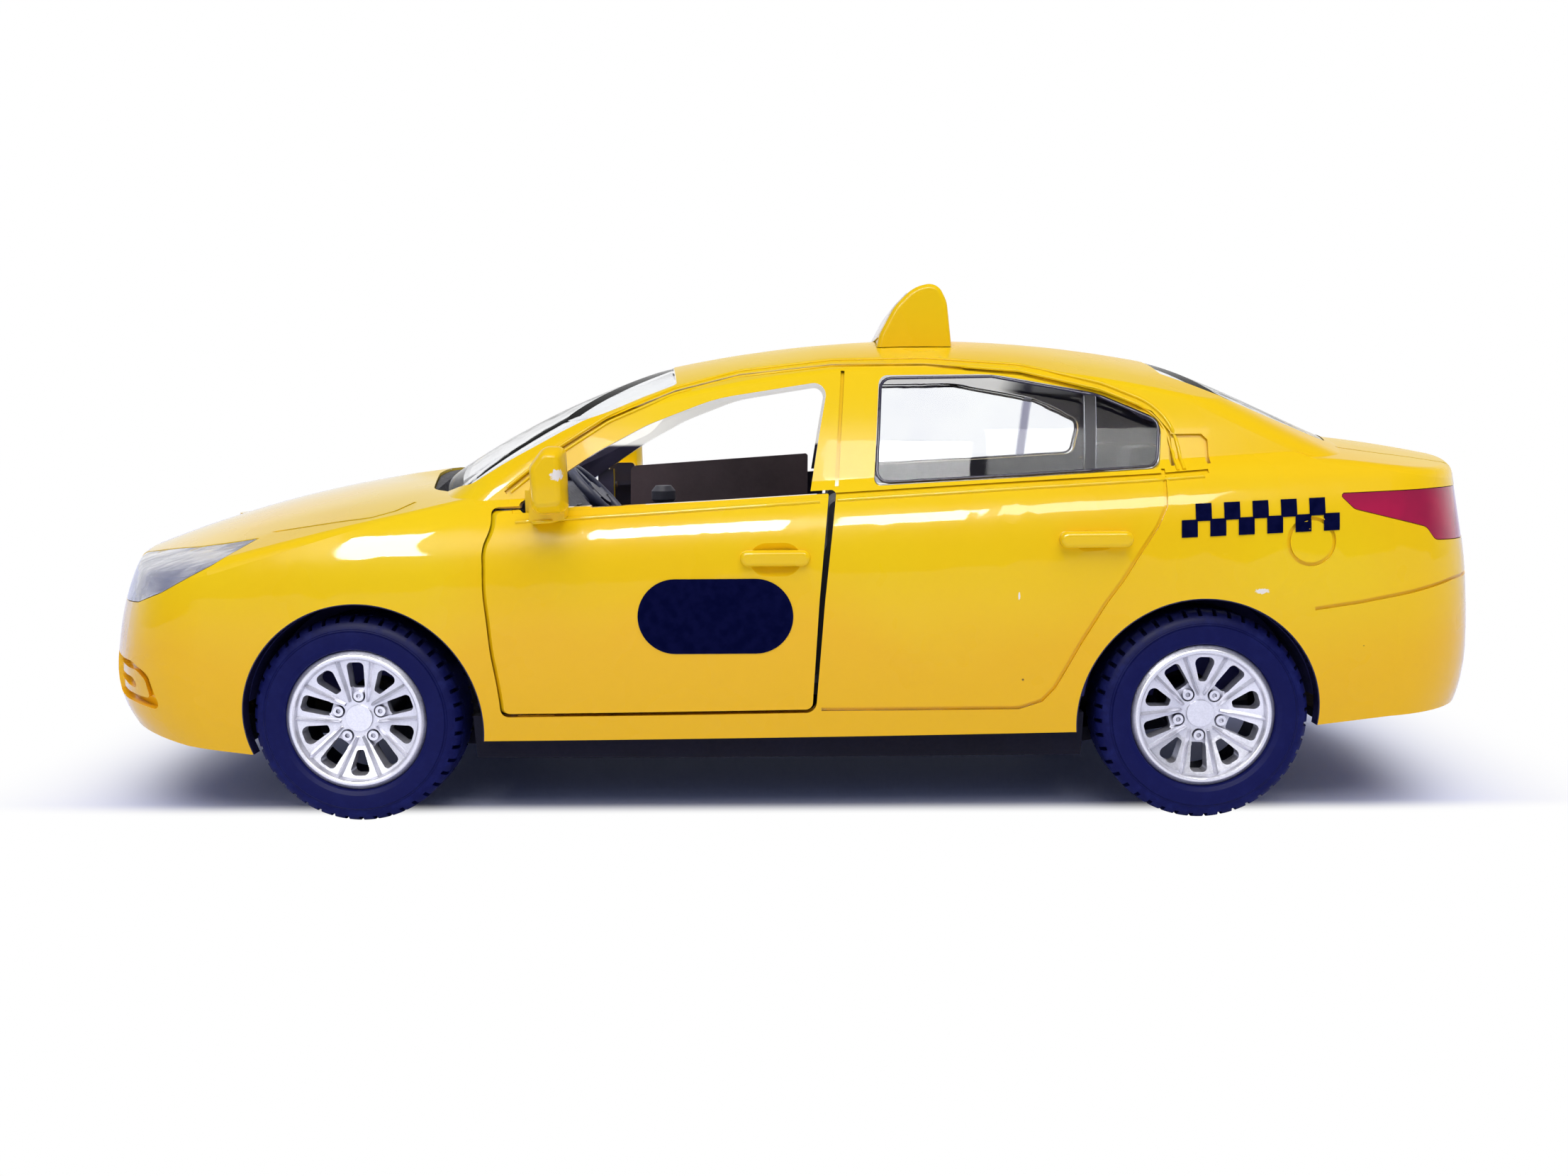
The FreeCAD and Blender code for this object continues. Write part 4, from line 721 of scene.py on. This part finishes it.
def wheel_house(name, side, middle, first, last):
    """Moulded half drum over a wheel: a band and its inner wall, turned from the first to the last degree."""
    (near, far), inner = HOUSE_Y, HOUSE_R - HOUSE_WALL
    section = ((HOUSE_R, far), (HOUSE_R, near), (HOUSE_HOLE, near), (HOUSE_HOLE, near + HOUSE_WALL),
               (inner, near + HOUSE_WALL), (inner, far))
    n, points, faces = len(section), [], []
    for j in range(HOUSE_STEPS + 1):
        angle = math.radians(first + (last - first) * j / HOUSE_STEPS)
        for r, y in section:
            points.append((
                middle.x + r * MM * math.cos(angle), side * y * MM, middle.z + r * MM * math.sin(angle)))
    for j in range(HOUSE_STEPS):
        for i in range(n):
            faces.append((j * n + i, j * n + (i + 1) % n, (j + 1) * n + (i + 1) % n, (j + 1) * n + i))
    faces += [tuple(range(n))[::-1], tuple(range(HOUSE_STEPS * n, HOUSE_STEPS * n + n))]
    shape = plain_mesh(name, points, [], faces)
    form = bmesh.new()
    form.from_mesh(shape)
    bmesh.ops.recalc_face_normals(form, faces=form.faces)
    form.to_mesh(shape)
    form.free()
    return add(name, shape)


BLANK_ROWS, BLANK_COLUMNS = 28, 44  # faces over the door blank


def round_blank(name, side, door, own, ink):
    """Round-ended black blank laid on a door by rays from the side."""
    half = own.pill_height / 2
    straight = (own.pill_front - own.pill_rear) / 2 - half
    middle = (own.pill_front + own.pill_rear) / 2
    mesh = NODES[door].data
    tree = BVHTree.FromPolygons([v.co for v in mesh.vertices], [p.vertices for p in mesh.polygons])
    points, faces = [], []
    for j in range(BLANK_ROWS + 1):
        up = -math.cos(math.pi * j / BLANK_ROWS) * half
        reach = straight + math.sqrt(max(0.0, half * half - up * up))
        for i in range(BLANK_COLUMNS + 1):
            x = middle - reach * math.cos(math.pi * i / BLANK_COLUMNS)
            hit = tree.ray_cast(Vector((x, side * OUTSIDE, own.pill_middle + up)), Vector((0, -side, 0)))[0]
            if hit is None:
                raise RuntimeError(name + " misses the door")
            points.append(hit + Vector((0, side, 0)) * own.film)
    for j in range(BLANK_ROWS):
        for i in range(BLANK_COLUMNS):
            a = j * (BLANK_COLUMNS + 1) + i
            face = (a, a + 1, a + BLANK_COLUMNS + 2, a + BLANK_COLUMNS + 1)
            faces.append(face if side < 0 else face[::-1])
    shape = plain_mesh(name, points, [], faces)
    shape.shade_smooth()
    shape.materials.append(ink)
    return add(name, shape)


# -------- operators
SIDES = (("left", 1), ("right", -1))


class TAXI_OT_enamel(bpy.types.Operator):
    """Spray the shell, the doors and the sign yellow"""

    bl_idname = "taxi.enamel"
    bl_label = "Yellow enamel"

    def execute(self, context):
        finish_with(enamel("taxi_enamel"), "body_shell", *both("front_door"))
        finish_with(enamel("sign_enamel", worn_and_shaded=False), "roof_sign")
        return {"FINISHED"}


class TAXI_OT_prints(bpy.types.Operator):
    """Print the checker band and the round-ended blank on both sides"""

    bl_idname = "taxi.prints"
    bl_label = "Black prints"

    def execute(self, context):
        own = context.scene.taxi_prints
        ink = print_ink()
        tree = checker_tree()
        for name, side in SIDES:
            values = {
                "Surface": NODES["body_shell"], "Width": own.square_width, "Height": own.square_height,
                "Squares": own.squares, "Start X": own.start[0], "Start Z": own.start[1], "Rise": own.rise,
                "Side": float(side), "Film": own.film, "Bleed": own.bleed, "Ink": ink}
            band = run_tree("checker_print_" + name, tree, values)
            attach(band, "body")
            blank = round_blank("door_blank_" + name, side, "front_door_" + name, own, ink)
            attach(blank, name + "_front_door")
        return {"FINISHED"}


# Side lines in millimetres, as x and z: roof gutter, belt on the body and on the door, rear side pane.
GUTTER = (
    (21.9, 27.45), (18.2, 30.35), (13.9, 33.1), (8.45, 35.4), (3.2, 36.75), (-4.7, 37.6), (-12.5, 37.65),
    (-20.3, 37.0), (-26.9, 35.4), (-30.2, 34.0), (-31.6, 32.9), (-32.3, 31.5), (-32.6, 30.0), (-32.75, 28.6))
GUTTER_GAP = 0.26  # each bead of the gutter lies this far from its line
BODY_BELT = ((-5.0, 26.5), (-18.0, 27.2), (-30.6, 27.85), (-34.5, 28.1))
DOOR_BELT = ((21.0, 24.95), (11.0, 25.5), (-3.6, 26.4))
PANE = (
    (-8.75, 36.25), (-8.2, 27.75), (-20.0, 28.3), (-31.0, 28.9), (-31.4, 32.5), (-26.55, 34.65),
    (-18.0, 36.3))
BEAD_STEP = 0.35 * MM  # distance between a bead's rings


class TAXI_OT_trim(bpy.types.Operator):
    """Lay the roof gutters, the belt mouldings, and dark beads round the rear side panes as painted shade of
    their rims
    """

    bl_idname = "taxi.trim"
    bl_label = "Gutters, belt and seals"

    def execute(self, context):
        tree = bead_tree()
        paint = bpy.data.materials["sign_enamel"]
        # The dark bead round each rear side pane is painted shade, standing for the dark rim that the clear
        # pane shows.
        pane_rim_shade = moulded_black("pane_rim_shade_black", (0.020, 0.017, 0.040, 1), 0.3 * MM, 0.25)
        for name, side in SIDES:
            # Each: name, line, surface, body, finish, then thickness, corner radius and lift in millimetres.
            lines = (
                ("gutter_upper_", beside(GUTTER, -GUTTER_GAP), "body_shell", "body", paint, 0.15, 5.0, 0.02),
                ("gutter_lower_", beside(GUTTER, GUTTER_GAP), "body_shell", "body", paint, 0.13, 5.0, 0.02),
                ("belt_rear_", BODY_BELT, "body_shell", "body", paint, 0.17, 20.0, 0.0),
                ("belt_door_", DOOR_BELT, "front_door_" + name, name + "_front_door", paint, 0.17, 20.0, 0.0),
                ("window_seal_", PANE, "rear_side_window_" + name, "body", pane_rim_shade, 0.13, 0.9, -0.02))
            for start, line, surface, body, finish, thick, corner, lift in lines:
                path = [(x * MM, side * OUTSIDE, z * MM) for x, z in line]
                values = {
                    "Surface": NODES[surface], "Thickness": thick * MM, "Corner": corner * MM,
                    "Step": BEAD_STEP, "Side": float(side), "Lift": lift * MM, "Finish": finish}
                bead = run_tree(start + name, tree, values, path, closed=line is PANE)
                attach(bead, body)
        return {"FINISHED"}


class TAXI_OT_wheel_houses(bpy.types.Operator):
    """Set a dark wheel house over each wheel"""

    bl_idname = "taxi.wheel_houses"
    bl_label = "Wheel houses"

    def execute(self, context):
        dark = moulded_black("wheel_house_black", (0.028, 0.028, 0.11, 1), 0.4 * MM, 0.7, 0.1)
        for end, first, last in (("front", 8, 152), ("rear", 8, 172)):
            low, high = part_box(end + "_tyre_left")
            for name, side in SIDES:
                made = wheel_house("wheel_house_%s_%s" % (end, name), side, (low + high) / 2, first, last)
                made.data.materials.append(dark)
                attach(made, "body")
        return {"FINISHED"}


class TAXI_OT_clear_parts(bpy.types.Operator):
    """Finish the panes and the lamp lenses"""

    bl_idname = "taxi.clear_parts"
    bl_label = "Clear parts"

    def execute(self, context):
        finish_with(clear_styrene("clear_styrene", 1.06), "windscreen", "rear_window")
        finish_with(clear_styrene("barred_styrene", 1.22, True), *both("rear_side_window"))
        finish_with(lens_plastic(), *both("headlamp_lens"))
        return {"FINISHED"}


class TAXI_OT_lamps(bpy.types.Operator):
    """Finish the reflectors, the tail lamps, the grilles and the sign's face"""

    bl_idname = "taxi.lamps"
    bl_label = "Lamps and grilles"

    def execute(self, context):
        finish_with(reflector(), *both("headlamp_reflector"))
        finish_with(lamp_red(), *both("tail_lamp"))
        finish_with(moulded_black("grille_black"), "upper_grille", "lower_grille", "cowl_trim")
        finish_with(moulded_black("sign_face_white", (0.86, 0.86, 0.84, 1), 0.5 * MM, 0.25), "roof_sign_face")
        return {"FINISHED"}


SPRAYED = 1.9 * MM  # how far in from its face a rim is silver


class TAXI_OT_wheels(bpy.types.Operator):
    """Finish the rims, tyres and axles"""

    bl_idname = "taxi.wheels"
    bl_label = "Wheels"

    def execute(self, context):
        silver = silver_paint("rim_silver", 0.28, 1.0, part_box("front_rim_left")[1].y - SPRAYED)
        for end in ("front", "rear"):
            low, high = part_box(end + "_tyre_left")
            centre = ((low.x + high.x) / 2, 0.0, (low.z + high.z) / 2)
            finish_with(tyre_rubber(end + "_tyre_rubber", centre), *both(end + "_tyre"))
            finish_with(silver, *both(end + "_rim"))
        finish_with(bare_steel(), "front_axle", "rear_axle", "base_screw_front", "base_screw_rear")
        return {"FINISHED"}


class TAXI_OT_base(bpy.types.Operator):
    """Finish the moulded base and the drive box"""

    bl_idname = "taxi.base"
    bl_label = "Base"

    def execute(self, context):
        base = moulded_black("base_black", (0.004, 0.004, 0.012, 1), 0.35 * MM, 0.6, 0.12)
        finish_with(base, "chassis_base")
        drive_box = moulded_black("drive_box_black", (0.03, 0.03, 0.033, 1), 0.5 * MM, 0.5)
        finish_with(drive_box, "pull_back_motor")
        return {"FINISHED"}


class TAXI_OT_cabin(bpy.types.Operator):
    """Finish the seats, floor, dashboard, wheel and door cards"""

    bl_idname = "taxi.cabin"
    bl_label = "Cabin"

    def execute(self, context):
        for name, colour, grain, rough, nodes in (
                ("cabin_black", (0.016, 0.017, 0.03, 1), 0.4, 0.45, ("interior_floor", "dashboard")),
                ("seat_black", (0.02, 0.02, 0.03, 1), 0.9, 0.5, (*both("front_seat"), "rear_seat")),
                ("steering_wheel_black", (0.018, 0.022, 0.05, 1), 0.3, 0.35, ("steering_wheel",)),
                ("door_card_brown", (0.036, 0.022, 0.028, 1), 0.4, 0.45, both("door_card"))):
            finish_with(moulded_black(name, colour, grain * MM, rough), *nodes)
        return {"FINISHED"}


# Viewpoint: its place, then turn, dip and roll in degrees, and the lens and the sensor in millimetres.
EYE = (-3.065 * MM, 137.721 * MM, 33.995 * MM)
TURN, DIP, ROLL = 1.204, 7.201, -0.587
LENS, SENSOR = 32.98, 36

# The table shows its shade round the toy and turns plain white for the camera outside it.
TABLE_HALF = 6.0
SHADE_X = 48 * MM  # how far the shade goes ahead and behind,
SHADE_LEFT, SHADE_RIGHT = 16 * MM, 20 * MM  # and to each side of the middle
FALL_LEFT, FALL_RIGHT = 6.0, 0.7  # how steeply it ends there
SHADE_FADE = (3 * MM, 27 * MM)
# Blue tints painted into the table round the toy, as painted shadow colour.
TABLE_SHADOW_TINT, TABLE_SHADOW_MOTTLE = (0.66, 0.71, 0.97, 1), (0.66, 0.72, 0.95, 1)

SKY_COLOUR, SUN_COLOUR = (0.52, 0.61, 1.0, 1), (1.0, 0.94, 0.82)
SUN_FROM, SUN_ANGLE = Vector((-0.10, 0.42, 1.0)), math.radians(54)

# Bright panes that only gloss sees: ends along x in millimetres, elevations in degrees, share of the gleam.
PANEL_REACH = 450 * MM
PANELS = (
    ("pane_wing", 185, 225, 20, 54, 0.9),
    ("pane_door", 20, 105, 29, 43, 1.0),
    ("pane_rear", -65, -3, 30, 42, 0.8),
    ("pane_tail", -170, -72, 33, 46, 0.3),
)


class TAXI_OT_stage(bpy.types.Operator):
    """Build the table, the light and the camera"""

    bl_idname = "taxi.stage"
    bl_label = "Studio"

    def execute(self, context):
        own = context.scene.taxi_stage
        self.make_floor(own)
        self.make_light(context, own)
        self.make_camera(context)
        context.scene.view_settings.view_transform = "Standard"
        return {"FINISHED"}

    def make_floor(self, own):
        """The white table, which keeps the toy's shadow and has a blue shadow tint painted round the toy."""
        made, tree, shader = material("table_white")
        spot = split(tree, place(tree))
        past = maths(tree, "SUBTRACT", maths(tree, "ABSOLUTE", spot["X"]), SHADE_X)
        left = maths(tree, "SUBTRACT", spot["Y"], SHADE_LEFT)
        right = maths(tree, "SUBTRACT", -SHADE_RIGHT, spot["Y"])
        beyond = maths(tree, "ADD", product(tree, largest(tree, left, 0.0), FALL_LEFT),
                       product(tree, largest(tree, right, 0.0), FALL_RIGHT))
        clear = ramp(tree, diagonal(tree, largest(tree, past, 0.0), beyond), *SHADE_FADE)
        # Painted shadow: the table is tinted blue round the toy, where its shadow falls.
        shadow_tint = blend(tree, clear, TABLE_SHADOW_TINT, tuple(own.floor_colour))
        grain = noise(tree, 40 * MM, 3.0)
        fill(tree, shader, Base_Color=blend(tree, grain, TABLE_SHADOW_MOTTLE, shadow_tint), Roughness=0.65)
        path = node(tree, "ShaderNodeLightPath").outputs
        white = node(tree, "ShaderNodeEmission", Color=(1, 1, 1, 1), Strength=1.0)
        seen = largest(tree, path["Is Camera Ray"], path["Is Transmission Ray"])
        self.mix_shaders(tree, "Material Output", product(tree, clear, seen), shader, white)
        corners = [(x * TABLE_HALF, y * TABLE_HALF, 0) for x, y in ((-1, -1), (1, -1), (1, 1), (-1, 1))]
        shape = plain_mesh("table_top", corners, [], [(0, 1, 2, 3)])
        shape.materials.append(made)
        add("table_top", shape)

    def mix_shaders(self, tree, output, factor, first, second):
        """Ends a tree in two shaders mixed by a factor."""
        mixed = node(tree, "ShaderNodeMixShader", Fac=factor)
        put(tree, mixed.inputs[1], first.outputs[0])
        put(tree, mixed.inputs[2], second.outputs[0])
        put(tree, tree.nodes[output].inputs["Surface"], mixed.outputs[0])

    def make_light(self, context, own):
        """Cool sky, warm sun and bright panes; gloss sees a white room, dimmed on the left and above."""
        world = bpy.data.worlds.new("white_studio")
        context.scene.world = world
        world.use_nodes = True
        tree = world.node_tree
        sky = tree.nodes["Background"]
        fill(tree, sky, Color=SKY_COLOUR, Strength=own.sky)
        path = node(tree, "ShaderNodeLightPath").outputs
        way = split(tree, node(tree, "ShaderNodeTexCoord").outputs["Generated"])
        dim = largest(tree, ramp(tree, way["Y"], -0.5, 0.4, 0.08, 0.92),
                      ramp(tree, way["Z"], 0.2, 0.7, 0.0, 0.85))
        thrown = maths(tree, "SUBTRACT", path["Is Glossy Ray"], path["Is Transmission Ray"], clamp=True)
        room = node(tree, "ShaderNodeBackground", Color=(1, 1, 1, 1),
                    Strength=maths(tree, "SUBTRACT", 1.0, product(tree, dim, thrown)))
        seen = largest(tree, path["Is Camera Ray"], path["Is Glossy Ray"], path["Is Transmission Ray"])
        self.mix_shaders(tree, "World Output", seen, sky, room)
        sun = bpy.data.lights.new("main_light", "SUN")
        sun.energy, sun.angle, sun.color = own.sun, SUN_ANGLE, SUN_COLOUR
        lamp = add("main_light", sun)
        lamp.rotation_euler = SUN_FROM.to_track_quat("Z", "Y").to_euler()
        lamp.visible_glossy = False
        for name, left, right, low, high, share in PANELS:
            self.add_panel(name, left * MM, right * MM, low, high, share * own.gleam)

    def add_panel(self, name, left, right, low, high, radiance):
        """A bright pane, from its ends along x and its elevations in degrees."""
        middle = math.radians((low + high) / 2)
        panel = bpy.data.lights.new(name, "AREA")
        panel.shape = "RECTANGLE"
        panel.size = right - left
        panel.size_y = 2 * PANEL_REACH * math.tan(math.radians((high - low) / 2))
        panel.energy = radiance * math.pi * panel.size * panel.size_y
        lamp = add(name, panel)
        lamp.location = ((left + right) / 2, PANEL_REACH * math.cos(middle), PANEL_REACH * math.sin(middle))
        lamp.rotation_euler = Vector((0, *lamp.location[1:])).to_track_quat("Z", "Y").to_euler()
        lamp.visible_diffuse = lamp.visible_camera = lamp.visible_transmission = False

    def make_camera(self, context):
        """The camera, from its viewpoint and its three turns."""
        turn, dip, roll = (math.radians(v) for v in (TURN, DIP, ROLL))
        ahead = Vector((math.sin(turn) * math.cos(dip), -math.cos(turn) * math.cos(dip), -math.sin(dip)))
        right = Vector((-math.cos(turn), -math.sin(turn), 0))
        up = right.cross(ahead)
        across = math.cos(roll) * right + math.sin(roll) * up
        above = math.cos(roll) * up - math.sin(roll) * right
        eye = bpy.data.cameras.new("eye")
        eye.sensor_width, eye.lens = SENSOR, LENS
        eye.clip_start, eye.clip_end = 0.005, 50
        camera = add("eye", eye)
        camera.matrix_world = Matrix.Translation(EYE) @ Matrix((across, above, -ahead)).transposed().to_4x4()
        context.scene.camera = camera


OPERATORS = (
    TAXI_OT_enamel, TAXI_OT_prints, TAXI_OT_trim, TAXI_OT_wheel_houses, TAXI_OT_clear_parts, TAXI_OT_lamps,
    TAXI_OT_wheels, TAXI_OT_base, TAXI_OT_cabin, TAXI_OT_stage)
SETTINGS = (
    ("taxi_enamel", EnamelSettings), ("taxi_prints", PrintSettings), ("taxi_wheels", WheelSettings),
    ("taxi_stage", StageSettings))


class TAXI_PT_panel(bpy.types.Panel):
    """Lists the settings and the steps"""

    bl_label = "Toy Taxi"
    bl_idname = "TAXI_PT_panel"
    bl_space_type = "VIEW_3D"
    bl_region_type = "UI"
    bl_category = "Toy Taxi"

    def draw(self, context):
        for name, group in SETTINGS:
            box = self.layout.box()
            box.label(text=group.__doc__)
            for key in group.__annotations__:
                box.prop(getattr(context.scene, name), key)
        for step in OPERATORS:
            self.layout.operator(step.bl_idname)


def register():
    for name, group in SETTINGS:
        bpy.utils.register_class(group)
        setattr(bpy.types.Scene, name, bpy.props.PointerProperty(type=group))
    for kind in OPERATORS + (TAXI_PT_panel,):
        bpy.utils.register_class(kind)


def unregister():
    for kind in (TAXI_PT_panel,) + OPERATORS[::-1]:
        bpy.utils.unregister_class(kind)
    for name, group in SETTINGS[::-1]:
        delattr(bpy.types.Scene, name)
        bpy.utils.unregister_class(group)


def main():
    register()
    build_effects()
    build_inside()
    bpy.ops.taxi.enamel()
    bpy.ops.taxi.prints()
    bpy.ops.taxi.trim()
    bpy.ops.taxi.wheel_houses()
    bpy.ops.taxi.clear_parts()
    bpy.ops.taxi.lamps()
    bpy.ops.taxi.wheels()
    bpy.ops.taxi.base()
    bpy.ops.taxi.cabin()
    bpy.ops.taxi.stage()


if __name__ == "__main__":
    main()
